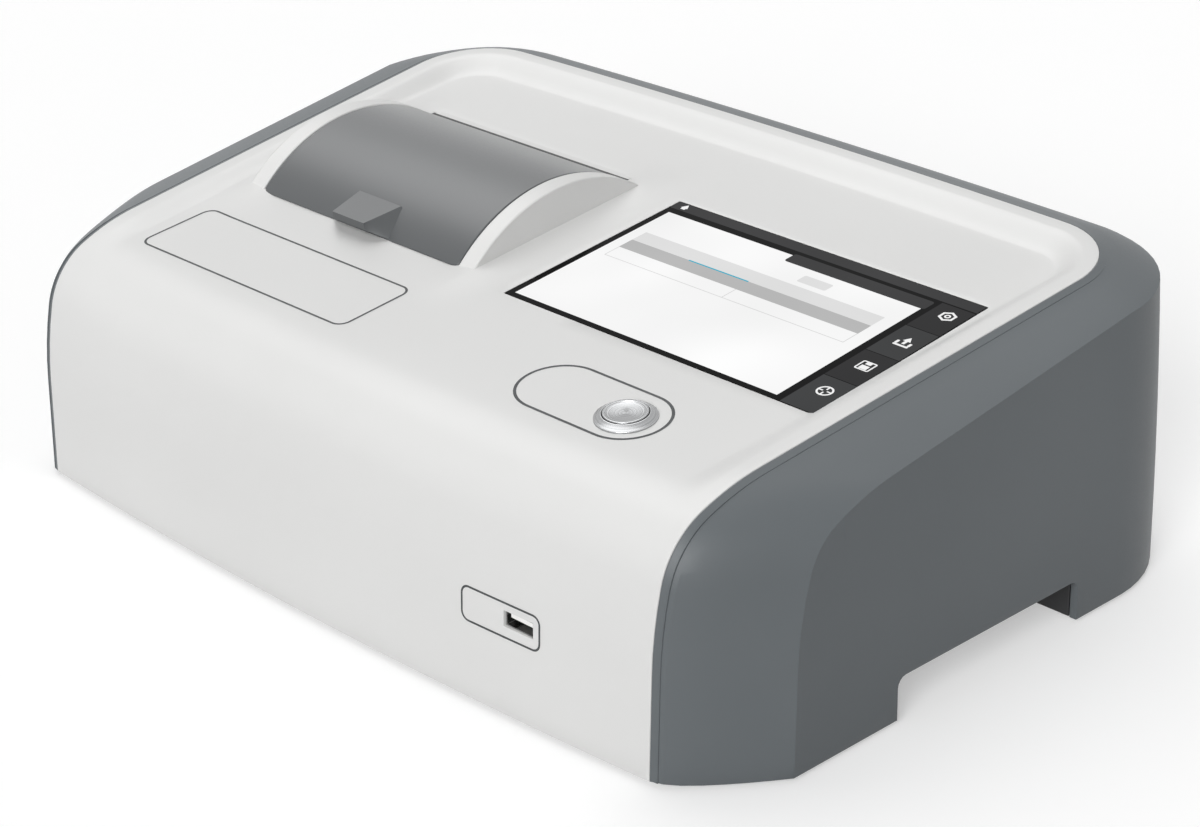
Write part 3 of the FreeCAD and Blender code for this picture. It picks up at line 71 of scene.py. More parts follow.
def add(material, kind, values=None, links=None, stops=(), **settings):
    """Add one node with its settings, its sockets' values and links, and for a colour ramp the
    stops as levels with hex colours."""
    node = material.node_tree.nodes.new(kind)
    for name, value in settings.items():
        setattr(node, name, value)
    fill(material, node, values, links)
    for number, (level, code) in enumerate(stops):
        stop = node.color_ramp.elements[number]
        stop.position, stop.color = level, colour(code)
    return node


def blank(name):
    """A material of just a shader and an output."""
    material = bpy.data.materials.new(name)
    material.use_nodes = True
    material.node_tree.nodes.clear()
    shader = add(material, "ShaderNodeBsdfPrincipled")
    add(material, "ShaderNodeOutputMaterial", links={"Surface": shader.outputs["BSDF"]})
    return material, shader


# Most of a noise lies between these two levels, so a tone runs from one colour to the other there
NOISE_SPAN = (0.3, 0.7)
# Typical refraction of ABS, float glass and fused silica, and how far a finish's roughness wanders
ABS_IOR, FLOAT_IOR, SILICA_IOR = 1.54, 1.52, 1.46
PLASTIC_WANDER, METAL_WANDER = 0.05, 0.06
SPOKE_STRENGTH = 0.75


def moulded(name, low, high, roughness, grain, depth, drift=90.0, extra=None):
    """Moulded plastic: a tone that drifts over drift mm, and a spark-eroded grain of grain mm.
    Extra holds more values for its shader."""
    material, shader = blank(name)
    place = add(material, "ShaderNodeTexCoord").outputs["Object"]
    slow = add(material, "ShaderNodeTexNoise", {"Scale": 1000 / drift, "Detail": 3.0},
               {"Vector": place})
    tone = add(material, "ShaderNodeValToRGB", links={"Fac": slow.outputs["Fac"]},
               stops=zip(NOISE_SPAN, (low, high)))
    fine = add(material, "ShaderNodeTexNoise", {"Scale": 1000 / grain, "Detail": 2.0},
               {"Vector": place})
    gloss = add(material, "ShaderNodeMapRange", {"To Min": roughness - PLASTIC_WANDER,
                                                 "To Max": roughness + PLASTIC_WANDER},
                {"Value": fine.outputs["Fac"]})
    bump = add(material, "ShaderNodeBump", {"Strength": 0.5, "Distance": depth * MM},
               {"Height": fine.outputs["Fac"]})
    fill(material, shader, {"IOR": ABS_IOR, **(extra or {})},
         {"Base Color": tone.outputs["Color"], "Roughness": gloss.outputs["Result"],
          "Normal": bump.outputs["Normal"]})
    return material


# Injection-moulded ABS: an even tone with a fine spark-eroded grain that softens every reflection.
# The real grain is about 0.1 mm, too fine to show, so it is drawn 1 mm coarse and shallow.
casing_abs = moulded("casing_abs_cool_grey", "5D6265", "616669", 0.46, 1.0, 0.010,
                     extra={"Specular IOR Level": 0.3})
cover_abs = moulded("cover_abs_pale", "D7D7D6", "DADAD9", 0.38, 1.0, 0.010)
# The lid comes from a polished mould, so it mirrors its surroundings a little more than the casing
lid_abs = moulded("lid_abs_grey", "414446", "45484A", 0.34, 1.0, 0.0005,
                  extra={"Coat Weight": 0.55, "Coat Roughness": 0.32})
# Black ABS of sockets, switch and chamber: the same mould grain, close to black
black_abs = moulded("black_abs", "17181A", "1E1F21", 0.45, 0.8, 0.02)
# PTFE for the sphere and a white polyamide for the socket's tongue: bright, with hardly any gloss
white_ptfe = moulded("white_ptfe", "EDEDEA", "F2F2F0", 0.55, 1.2, 0.01)
# Soft rubber: dark, dull and faintly dusty
foot_rubber = moulded("rubber_black", "1B1B1B", "262625", 0.80, 0.7, 0.04, 12.0)


def metal(name, low, high, roughness, grain, depth, stretch=(1, 1, 1), middle=None):
    """Bare metal whose marks are grain mm apart, drawn out along an axis or turned round a middle.
    Turned marks also draw the light out into spokes."""
    material, shader = blank(name)
    place = add(material, "ShaderNodeTexCoord").outputs["Object"]
    if middle:
        centred = add(material, "ShaderNodeMapping", {"Location": [v * MM for v in middle],
                                                      "Rotation": (math.radians(DECK_TILT), 0, 0)},
                      {"Vector": place}, vector_type="TEXTURE")
        flat = add(material, "ShaderNodeVectorMath", {1: (1, 1, 0)}, {0: centred.outputs["Vector"]},
                   operation="MULTIPLY")
        out = add(material, "ShaderNodeVectorMath", links={0: flat.outputs["Vector"]},
                  operation="LENGTH")
        marks = add(material, "ShaderNodeTexNoise", {"Scale": 1000 / grain, "Detail": 2.0},
                    {"W": out.outputs["Value"]}, noise_dimensions="1D")
        around = add(material, "ShaderNodeTangent", direction_type="RADIAL", axis="Z")
        fill(material, shader, {"Anisotropic": SPOKE_STRENGTH},
             {"Tangent": around.outputs["Tangent"]})
    else:
        drawn = add(material, "ShaderNodeMapping", {"Scale": stretch}, {"Vector": place})
        marks = add(material, "ShaderNodeTexNoise", {"Scale": 1000 / grain, "Detail": 2.0},
                    {"Vector": drawn.outputs["Vector"]})
    tone = add(material, "ShaderNodeValToRGB", links={"Fac": marks.outputs["Fac"]},
               stops=zip(NOISE_SPAN, (low, high)))
    gloss = add(material, "ShaderNodeMapRange", {"To Min": roughness - METAL_WANDER,
                                                 "To Max": roughness + METAL_WANDER},
                {"Value": marks.outputs["Fac"]})
    bump = add(material, "ShaderNodeBump", {"Strength": 0.6, "Distance": depth * MM},
               {"Height": marks.outputs["Fac"]})
    fill(material, shader, {"Metallic": 1.0},
         {"Base Color": tone.outputs["Color"], "Roughness": gloss.outputs["Result"],
          "Normal": bump.outputs["Normal"]})
    return material


# Stainless steel screws and pins, turned: a soft satin
steel = metal("stainless_steel_satin", "B9BABB", "CBCCCC", 0.30, 0.6, 0.004)
# Nickel plate over stamped shells: bright and nearly smooth
nickel = metal("nickel_plate", "929291", "A6A6A5", 0.2, 3.0, 0.002)
# Milled aluminium: straight cutter marks that lighten and darken in stripes
milled = metal("aluminium_milled", "B4B7BA", "C6C8CA", 0.36, 1.5, 0.006, (0.06, 1, 1))
# Zinc-coated sheet: a slow mottle of grey spangle
zinc = metal("zinc_sheet", "9A9DA0", "B2B5B7", 0.42, 7.0, 0.002)
# Turned brass posts and blades: warm, with fine lathe rings
brass = metal("brass_turned", "C9A254", "DAB86C", 0.28, 0.8, 0.004)


# Millimetres from patch to patch: haze on the glass, ripple in the silica, tracks of the boards,
# unevenness of the screen's backlight
HAZE, RIPPLE, TRACKS, BACKLIGHT = 35.0, 8.0, 4.0, 60.0


def glass_panel():
    """Float glass over black ink, coated against reflections: a deep black, slightly hazed."""
    material, shader = blank("touch_glass_black")
    place = add(material, "ShaderNodeTexCoord").outputs["Object"]
    haze = add(material, "ShaderNodeTexNoise", {"Scale": 1000 / HAZE, "Detail": 3.0},
               {"Vector": place})
    gloss = add(material, "ShaderNodeMapRange", {"To Min": 0.03, "To Max": 0.10},
                {"Value": haze.outputs["Fac"]})
    tone = add(material, "ShaderNodeValToRGB", links={"Fac": haze.outputs["Fac"]},
               stops=zip(NOISE_SPAN, ("030303", "070708")))
    fill(material, shader, {"IOR": FLOAT_IOR, "Specular IOR Level": 0.03},
         {"Base Color": tone.outputs["Color"], "Roughness": gloss.outputs["Result"]})
    return material


def clear_glass():
    """Fused silica windows and the bulb: clear, with faint ripple at its rims."""
    material, shader = blank("silica_clear")
    place = add(material, "ShaderNodeTexCoord").outputs["Object"]
    wave = add(material, "ShaderNodeTexNoise", {"Scale": 1000 / RIPPLE, "Detail": 1.0},
               {"Vector": place})
    gloss = add(material, "ShaderNodeMapRange", {"To Min": 0.0, "To Max": 0.04},
                {"Value": wave.outputs["Fac"]})
    fill(material, shader, {"Transmission Weight": 1.0, "IOR": SILICA_IOR},
         {"Roughness": gloss.outputs["Result"]})
    return material


def solder_mask():
    """Green lacquer over copper: tracks stand out a shade lighter, drawn coarser than real ones."""
    material, shader = blank("board_solder_mask")
    place = add(material, "ShaderNodeTexCoord").outputs["Object"]
    cells = add(material, "ShaderNodeTexVoronoi", {"Scale": 1000 / TRACKS}, {"Vector": place},
                distance="MANHATTAN", feature="F1")
    tone = add(material, "ShaderNodeValToRGB", links={"Fac": cells.outputs["Distance"]},
               stops=[(0.28, "14503A"), (0.34, "1E6A48")])
    bump = add(material, "ShaderNodeBump", {"Strength": 0.4, "Distance": 0.03 * MM},
               {"Height": cells.outputs["Distance"]})
    fill(material, shader, {"Roughness": 0.25},
         {"Base Color": tone.outputs["Color"], "Normal": bump.outputs["Normal"]})
    return material


def shown(name, low, high):
    """Part of the lit picture behind the glass: its tone drifts a little with the backlight."""
    material, shader = blank(name)
    place = add(material, "ShaderNodeTexCoord").outputs["Object"]
    slow = add(material, "ShaderNodeTexNoise", {"Scale": 1000 / BACKLIGHT, "Detail": 1.0},
               {"Vector": place})
    tone = add(material, "ShaderNodeValToRGB", links={"Fac": slow.outputs["Fac"]},
               stops=zip(NOISE_SPAN, (low, high)))
    fill(material, shader, {"Base Color": colour("050505"), "Emission Strength": 1.0,
                            "Roughness": 0.12, "Specular IOR Level": 0.03},
         {"Emission Color": tone.outputs["Color"]})
    return material


# Screen-printed ink: a thin dull film, uneven where the mesh left it thinner
printed_ink = moulded("printed_ink_grey", "303234", "3E4143", 0.6, 0.5, 0.004, 4.0)
# Which finish each of the model's material slots gets
finishes = {
    "casing_grey": casing_abs, "cover_pale": cover_abs, "lid_grey": lid_abs,
    "screen_glass": glass_panel(), "steel": steel, "plated": nickel, "alloy": milled, "sheet": zinc,
    "black_plastic": black_abs, "white_plastic": white_ptfe, "board": solder_mask(),
    "foot_rubber": foot_rubber, "brass_pin": brass, "clear_glass": clear_glass(),
}


def dress(thing, material):
    thing.data.materials.clear()
    thing.data.materials.append(material)
    return thing


def finished(name, form, slot, body="casing", edge_angle=30.0, material=None):
    """Turn a bmesh, in millimetres, into a piece that rides on a body. It is smooth but for edges
    over edge_angle degrees, and wears its slot's finish unless it has a material of its own."""
    bmesh.ops.transform(form, matrix=Matrix.Scale(MM, 4), verts=form.verts)
    mesh = bpy.data.meshes.new(name)
    form.to_mesh(mesh)
    form.free()
    mesh.shade_smooth()
    mesh.set_sharp_from_angle(angle=math.radians(edge_angle))
    thing = bpy.data.objects.new(name, mesh)
    bpy.context.scene.collection.objects.link(thing)
    dress(thing, material or finishes[slot])
    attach(thing, body)
    return thing


# Triangles that meet at less than this many degrees are one flat face
FLAT_ANGLE = 0.5


def cad_form(node):
    """A copy of a node's mesh as one merged bmesh, in millimetres."""
    form = bmesh.new()
    form.from_mesh(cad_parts[node].data)
    bmesh.ops.transform(form, matrix=Matrix.Scale(1 / MM, 4), verts=form.verts)
    bmesh.ops.remove_doubles(form, verts=form.verts, dist=MERGE)
    bmesh.ops.dissolve_limit(form, angle_limit=math.radians(FLAT_ANGLE), verts=form.verts[:],
                             edges=form.edges[:])
    return form


# ---- Shapes: chains of vertices drawn and spun, then bridged. Heights are above the casing's lower
# edge until a form is lifted by the feet. ----

def draw(form, vert, step, cuts=0):
    """Draw a straight line on from a vertex, in equal lengths, and return its far end."""
    for _ in range(cuts + 1):
        end = bmesh.ops.extrude_vert_indiv(form, verts=[vert])["verts"][0]
        end.co = vert.co + Vector(step) / (cuts + 1)
        vert = end
    return vert


def turn(form, vert, centre, axis, angle, steps):
    """Draw an arc on from a vertex about a centre, and return its far end."""
    made = bmesh.ops.spin(form, geom=[vert], cent=centre, axis=axis, angle=angle, steps=steps)
    return next(v for v in made["geom_last"] if isinstance(v, bmesh.types.BMVert))


def between(start, end, share):
    """The value at a share of the way from start to end."""
    return start + (end - start) * share


def eased(share):
    """A share held between 0 and 1 that starts and ends gently."""
    share = min(1.0, max(0.0, share))
    return share * share * (3 - 2 * share)


# Side view of the casing at the cap's edge, and at the crease where chamfer and side meet: lean of
# the front, radii of three shoulder arcs, angles where one passes into the next, tilt of the rim
EDGE_VIEW = {"lean": 1.2, "low": 150.0, "mid": 30.0, "high": 95.0,
             "turn_low": 13.0, "turn_mid": 67.0, "tilt": 6.81}
CREASE_VIEW = {"lean": 2.5, "low": 110.0, "mid": 24.0, "high": 100.0,
               "turn_low": 20.0, "turn_mid": 66.0, "tilt": 8.1}
# The front's foot, the rim's height, where the rear corners start, and how high the feet lift all
FRONT_LINE, RIM_HEIGHT, CORNER_LINE, FOOT_DROP = 133.1, 108.14, 77.7, 2.0
# In plan: half the cap's width, how far cap and sides narrow to the front, and the sides' draft
CAP_HALF, CAP_SKEW, SIDE_SKEW, SIDE_DRAFT = 172.8, 0.0488, 0.0267, 0.04
CORNER_X, CAP_CORNER, CASING_CORNER, BACK_BOW = 141.4, 31.4, 58.6, 2.6
HALF_WIDTH, BEVEL_WIDTH = 200.0, 4.5
# How finely each stretch of a station is drawn
STRAIGHT_CUTS, ARC_STEPS, RIM_CUTS, CORNER_STEPS, BACK_CUTS = 5, (4, 14, 8), 25, 14, 19


def side_view(share, inset, drop):
    """A side view between the cap's edge, at share 0, and the crease, at 1: where the front
    starts, its lean, its straight height, its arcs, the rim's slope and where the rim starts."""
    at = {key: between(EDGE_VIEW[key], CREASE_VIEW[key], share) for key in EDGE_VIEW}
    slope, lean = math.tan(math.radians(at["tilt"])), math.tan(math.radians(at["lean"]))
    turns = [math.radians(a) for a in (at["lean"], at["turn_low"], at["turn_mid"], 90 - at["tilt"])]
    arcs = list(zip((at["low"], at["mid"], at["high"]), turns, turns[1:], ARC_STEPS))
    reach = sum(r * (math.cos(a) - math.cos(b)) for r, a, b, _ in arcs)
    climb = sum(r * (math.sin(b) - math.sin(a)) for r, a, b, _ in arcs)
    front, top = inset - FRONT_LINE, RIM_HEIGHT - drop
    straight = (top + slope * (front + reach) - climb) / (1 - slope * lean)
    return front, lean, straight, arcs, slope, front + straight * lean + reach


def station(form, share, inset, drop, x, skew, draft, rear_slope):
    """Draw one line over the front, along the side, round the rear corner and half of the back:
    inset mm behind the front, drop mm under the rim and x mm out where the corner starts."""
    verts, edges = set(form.verts), set(form.edges)
    front, lean, straight, arcs, slope, _ = side_view(share, inset, drop)
    vert = form.verts.new((0, front, 0))
    vert = draw(form, vert, (0, straight * lean, straight), STRAIGHT_CUTS)
    for radius, start, end, steps in arcs:
        centre = vert.co + Vector((0, radius * math.cos(start), -radius * math.sin(start)))
        vert = turn(form, vert, centre, (-1, 0, 0), end - start, steps)
    ahead = CORNER_LINE - vert.co.y
    vert = draw(form, vert, (0, ahead, ahead * slope), RIM_CUTS)
    side = [v for v in form.verts if v not in verts]
    aside = Matrix(((1, skew, -draft, x - skew * CORNER_LINE),
                    (0, 1, 0, 0), (0, 0, 1, 0), (0, 0, 0, 1)))
    bmesh.ops.transform(form, matrix=aside, verts=side)
    verts.update(side)
    vert = turn(form, vert, (CORNER_X, CORNER_LINE, 0), (0, 0, 1), math.pi / 2, CORNER_STEPS)
    draw(form, vert, (-vert.co.x, 0, 0), BACK_CUTS)
    rear = [v for v in form.verts if v not in verts]
    for v in rear:
        v.co.y += BACK_BOW * (1 - min(1.0, v.co.x / CORNER_X) ** 2)
    rise = Matrix(((1, 0, 0, 0), (0, 1, 0, 0),
                   (0, rear_slope, 1, -rear_slope * CORNER_LINE), (0, 0, 0, 1)))
    bmesh.ops.transform(form, matrix=rise, verts=rear)
    return [e for e in form.edges if e not in edges]


def bridged(form, rows):
    """Join each line with the next by a strip of faces."""
    for outer, inner in zip(rows, rows[1:]):
        bmesh.ops.bridge_loops(form, edges=outer + inner)


def mirrored(form):
    """Add the left half and close the seam down the middle."""
    bmesh.ops.mirror(form, geom=form.verts[:] + form.edges[:] + form.faces[:], axis="X",
                     merge_dist=NEAR)
    bmesh.ops.remove_doubles(form, verts=form.verts, dist=MERGE)
    bmesh.ops.recalc_face_normals(form, faces=form.faces)


def rounded_plate(x0, x1, y0, y1, radius=0.0, segments=4):
    """One flat face with round corners, in the XY plane."""
    form = bmesh.new()
    bmesh.ops.create_grid(form, x_segments=1, y_segments=1, size=0.5)
    bmesh.ops.scale(form, vec=(x1 - x0, y1 - y0, 1), verts=form.verts)
    bmesh.ops.translate(form, vec=((x0 + x1) / 2, (y0 + y1) / 2, 0), verts=form.verts)
    if radius:
        bmesh.ops.bevel(form, geom=form.verts[:], offset=radius, segments=segments, profile=0.5,
                        affect="VERTICES", material=-1)
    return form


# Places that shapes drawn flat are laid in: on the deck, on the front (and on the back, at heights
# below zero) and on a side
DECK = Matrix.Translation((0, 0, DECK_HEIGHT)) @ Matrix.Rotation(math.radians(DECK_TILT), 4, "X")
FRONT = Matrix(((1, 0, 0, 0), (0, 0, -1, 0), (0, 1, 0, 0), (0, 0, 0, 1)))
SIDE = Matrix(((0, 0, 1, 0), (1, 0, 0, 0), (0, 1, 0, 0), (0, 0, 0, 1)))
# Heights in those places between which a sheet is cut
NEAR_DECK, NEAR_FRONT, NEAR_BACK = (-9, 9), (90, 160), (-200, -100)
NEAR_SIDES = ((150, 250), (-250, -150))


def joined(forms):
    """Several forms in one."""
    whole = bmesh.new()
    for form in forms:
        mesh = bpy.data.meshes.new("part")
        form.to_mesh(mesh)
        form.free()
        whole.from_mesh(mesh)
        bpy.data.meshes.remove(mesh)
    return whole


def cut_opening(form, outline, place, low, high):
    """Cut a sheet along the sides of a flat outline and take out the faces inside it."""
    (face,) = outline.faces
    corners = [v.co.copy() for v in face.verts]
    turned, back = place.to_3x3(), place.inverted()
    spans = [(min(c[axis] for c in corners), max(c[axis] for c in corners)) for axis in (0, 1)]
    spans.append((low, high))
    near = []
    for sheet in form.faces:
        flat = [back @ v.co for v in sheet.verts]
        if all(min(v[axis] for v in flat) < span[1] and max(v[axis] for v in flat) > span[0]
               for axis, span in enumerate(spans)):
            near.append(sheet)
    near += list({e for f in near for e in f.edges}) + list({v for f in near for v in f.verts})
    sides = []
    for start, end in zip(corners, corners[1:] + corners[:1]):
        normal = (end - start).cross(Vector((0, 0, 1)))
        if face.normal.z < 0:
            normal.negate()
        sides.append((start, normal.normalized()))
        near = bmesh.ops.bisect_plane(form, geom=near, dist=CUT, plane_co=place @ start,
                                      plane_no=turned @ normal)["geom"]
    outline.free()
    inside = []
    for sheet in near:
        if isinstance(sheet, bmesh.types.BMFace):
            middle = back @ sheet.calc_center_median()
            if low < middle.z < high and all(
                    (middle - start).dot(normal) < 0 for start, normal in sides):
                inside.append(sheet)
    bmesh.ops.delete(form, geom=inside, context="FACES")


def walled(thing, thickness, edge):
    """Give a sheet its wall inwards, in mm, and soften its outer edges."""
    wall = thing.modifiers.new("wall", "SOLIDIFY")
    wall.thickness = thickness * MM
    wall.offset = -1
    return soften(thing, edge)


def soften(thing, edge, angle=50.0):
    """Round edges over angle degrees, edge mm wide, as the mould or the tool leaves them."""
    rounding = thing.modifiers.new("edges", "BEVEL")
    rounding.width = edge * MM
    rounding.segments = 2
    rounding.limit_method = "ANGLE"
    rounding.angle_limit = math.radians(angle)
    return thing


# ---- The pale cover ----

# The front's bow, the rim's flat width, the slope inside it, and how softly that meets the deck
FRONT_BOW, RIM_WIDTH, SLOPE_WIDTH, DECK_BLEND = 5.9, 5.5, 10.5, 1.0
RIM_SLOPE = math.tan(math.radians(EDGE_VIEW["tilt"]))
DECK_SLOPE = math.tan(math.radians(DECK_TILT))
# Cuts across the deck's middle, and how far off its innermost line a round corner's chord may lie
MIDDLE_CUTS, ROUND_SLACK = 31, 0.5
# Lines of the cover: how far in from the cap's edge, and how far under its profile
COVER_LINES = [(0.0, 3.0), (0.0, 0.55), (0.08, 0.22), (0.25, 0.06), (0.6, 0.0), (2.5, 0.0),
               (4.5, 0.0), (5.5, 0.0), (6.5, 0.0), (8.5, 0.0), (11.0, 0.0), (13.0, 0.0),
               (15.0, 0.0), (16.0, 0.0), (17.5, 0.0)]
# The lid: its sides, where its axis lies along and under the deck, its shell, how far its tail runs
# under the deck, its gap over the deck in front, and how far its front laps over the deck
LID_LEFT, LID_RIGHT, LID_S, LID_DEPTH, LID_RADIUS, LID_WALL = -137.0, -24.0, 3.8, 53.7, 70.7, 2.5
LID_TAIL, LID_LIFT, LID_LAP = 4.0, 0.4, 4.4
CHEEK_WIDTH, CHEEK_GAP, CHEEK_STAND, CHEEK_FOOT, CHEEK_DEEP = 8.0, 0.5, 0.2, 3.0, 8.0
# Behind the lid, out from its shell: the gap, the outer sides of the black band that is painted shade
# of the slot, and of the lip, and how far behind the gap the deck starts. Then the heights between
# which the lip runs, and how proud it stands.
SLOT_GAP, SHADE_BAND_OUT, LIP_OUT, SLOT_LAP = 0.3, 1.5, 3.3, 1.6
LIP_LOW, LIP_HIGH, LIP_STAND = -7.0, 5.0, 0.04
# Openings for the glass, for the button (its place, half the hole's width, its corner radius) and,
# in the front, for the socket
GLASS_LEFT, GLASS_RIGHT, GLASS_LOW, GLASS_HIGH = 4.9, 154.0, -45.5, 49.6
BUTTON_X, BUTTON_S, BUTTON_HOLE, HOLE_ROUND = 104.7, -84.4, 9.7, 9.5
SOCKET_OPENING = (98.15, 111.65, 35.85, 41.95)
# A low ramp runs out from the foot of each cheek to a line that stays straight along the slope
RAMP_HEIGHT, RAMP_WIDTH, RAMP_BEND = 1.7, 13.0, 1.2
RAMP_FRONT, RAMP_BACK = (-65.0, -40.0), (48.0, 71.0)


def edge_distance(x, y):
    """How far inside the cap's edge a place in plan is."""
    x = abs(x)
    if y <= CORNER_LINE:
        return CAP_HALF - CAP_SKEW * (CORNER_LINE - y) - x
    if x > CORNER_X:
        return CAP_CORNER - math.hypot(x - CORNER_X, y - CORNER_LINE)
    return CORNER_LINE + CAP_CORNER + BACK_BOW * (1 - (x / CORNER_X) ** 2) - y


def ramp_rise(x, s):
    """How much higher than its plane the deck is beside the cheeks."""
    out = abs(x - (LID_LEFT + LID_RIGHT) / 2) - (LID_RIGHT - LID_LEFT) / 2 - CHEEK_GAP - CHEEK_WIDTH
    share = min((s - RAMP_FRONT[0]) / (RAMP_FRONT[1] - RAMP_FRONT[0]),
                (RAMP_BACK[1] - s) / (RAMP_BACK[1] - RAMP_BACK[0]), 1.0)
    if out > RAMP_WIDTH or out < -CHEEK_WIDTH or share <= 0:
        return 0.0
    return RAMP_HEIGHT * share * (1 - max(0.0, out) / RAMP_WIDTH) ** RAMP_BEND


def shape_cover():
    form = bmesh.new()
    rows = [station(form, 0, under, under, CAP_HALF - inset, CAP_SKEW, 0, RIM_SLOPE)
            for inset, under in COVER_LINES]
    bridged(form, rows)
    mirrored(form)
    # The sheet between the two innermost lines, then the flat piece behind it
    innermost = COVER_LINES[-1][0]
    line = [e for e in form.edges if e.is_boundary and all(
        abs(edge_distance(v.co.x, v.co.y) - innermost) < NEAR and v.co.y < CORNER_LINE + NEAR
        for v in e.verts)]
    made = bmesh.ops.bridge_loops(form, edges=line)
    across = {e for f in made["faces"] for e in f.edges if e.verts[0].co.x * e.verts[1].co.x < 0}
    bmesh.ops.subdivide_edges(form, edges=list(across), cuts=MIDDLE_CUTS, use_grid_fill=True)
    rear = [e for e in form.edges if e.is_boundary and all(
        v.co.y > CORNER_LINE - NEAR and edge_distance(v.co.x, v.co.y) > innermost - ROUND_SLACK
        for v in e.verts)]
    bmesh.ops.contextual_create(form, geom=rear)
    bmesh.ops.recalc_face_normals(form, faces=form.faces)
    # Columns where the ramps beside the cheeks begin and end
    foot = CHEEK_GAP + CHEEK_WIDTH
    for x in (LID_LEFT - foot - RAMP_WIDTH, LID_LEFT - foot, LID_RIGHT + foot,
              LID_RIGHT + foot + RAMP_WIDTH / 2, LID_RIGHT + foot + RAMP_WIDTH):
        bmesh.ops.bisect_plane(form, geom=form.verts[:] + form.edges[:] + form.faces[:], dist=CUT,
                               plane_co=(x, 0, 0), plane_no=(1, 0, 0))
    settle_cover(form)
    front = LID_S - math.sqrt(LID_RADIUS ** 2 - LID_DEPTH ** 2)
    slot = LID_S + math.sqrt((LID_RADIUS + SLOT_GAP + SLOT_LAP) ** 2 - LID_DEPTH ** 2)
    for edges in ((LID_LEFT - CHEEK_GAP, LID_RIGHT + CHEEK_GAP, front + LID_LAP, slot),
                  (GLASS_LEFT, GLASS_RIGHT, GLASS_LOW, GLASS_HIGH),
                  (BUTTON_X - BUTTON_HOLE, BUTTON_X + BUTTON_HOLE, BUTTON_S - BUTTON_HOLE,
                   BUTTON_S + BUTTON_HOLE, HOLE_ROUND)):
        cut_opening(form, rounded_plate(*edges), DECK, *NEAR_DECK)
    cut_opening(form, rounded_plate(*SOCKET_OPENING), FRONT, *NEAR_FRONT)
    return form


def settle_cover(form):
    """Bow the front, sink the deck inside the rim and lift the cover by the feet."""
    _, _, straight, _, _, top_start = side_view(0, 0, 0)
    for v in form.verts:
        x, y, z = v.co
        if y < CORNER_LINE:
            half = CAP_HALF - CAP_SKEW * (CORNER_LINE - y)
            bow = FRONT_BOW * max(0.0, 1 - (x / half) ** 2)
            bow *= min(1.0, (CORNER_LINE - y) / (CORNER_LINE - top_start))
            v.co.y -= bow
            v.co.z -= bow * RIM_SLOPE * min(1.0, z / straight)
        x, y, z = v.co
        inside = eased((edge_distance(x, y) - RIM_WIDTH) / SLOPE_WIDTH)
        deck = DECK_HEIGHT - FOOT_DROP + DECK_SLOPE * y
        deck += ramp_rise(x, y / math.cos(math.radians(DECK_TILT)))
        over = z - deck
        v.co.z -= inside * (over + math.sqrt(over * over + DECK_BLEND)) / 2
    bmesh.ops.translate(form, verts=form.verts, vec=(0, 0, FOOT_DROP))


# ---- The dark casing ----

# Strips of the chamfer, and cuts across the walls below it
CHAMFER_STEPS, WALL_CUTS = 6, 9
# Lines along the cap's edge: how far out from it, and how far under its profile
EDGE_LINES = ((0.0, 7.0), (0.0, 0.6), (0.1, 0.28), (0.4, 0.26))
# From the bevel to the crease: how far behind the cap's front, how far under its profile, and the
# slope behind; then the powers that bend the chamfer between the two, in plan and in height
CHAMFER_BACK, CHAMFER_DROP, CHAMFER_SLOPE = (2.0, 34.3), (1.9, 8.44), (RIM_SLOPE, 0.045)
PLAN_BEND, DROP_BEND = 1.25, 1.1
# How much the walls lean in, and how much they curve in
CROWN_LEAN, CROWN_BOW = 0.021, 0.00022
# Openings for the hands in both sides and for the connectors in the back, with their corner radius
GRIP_OPENING, REAR_OPENING = (-47.3, 50.8, -20, 18.2, 4.0), (-62, 62, 22, 64, 1.5)


def crown(z):
    """How far the side walls come in at a height."""
    return CROWN_LEAN * z + CROWN_BOW * z * z


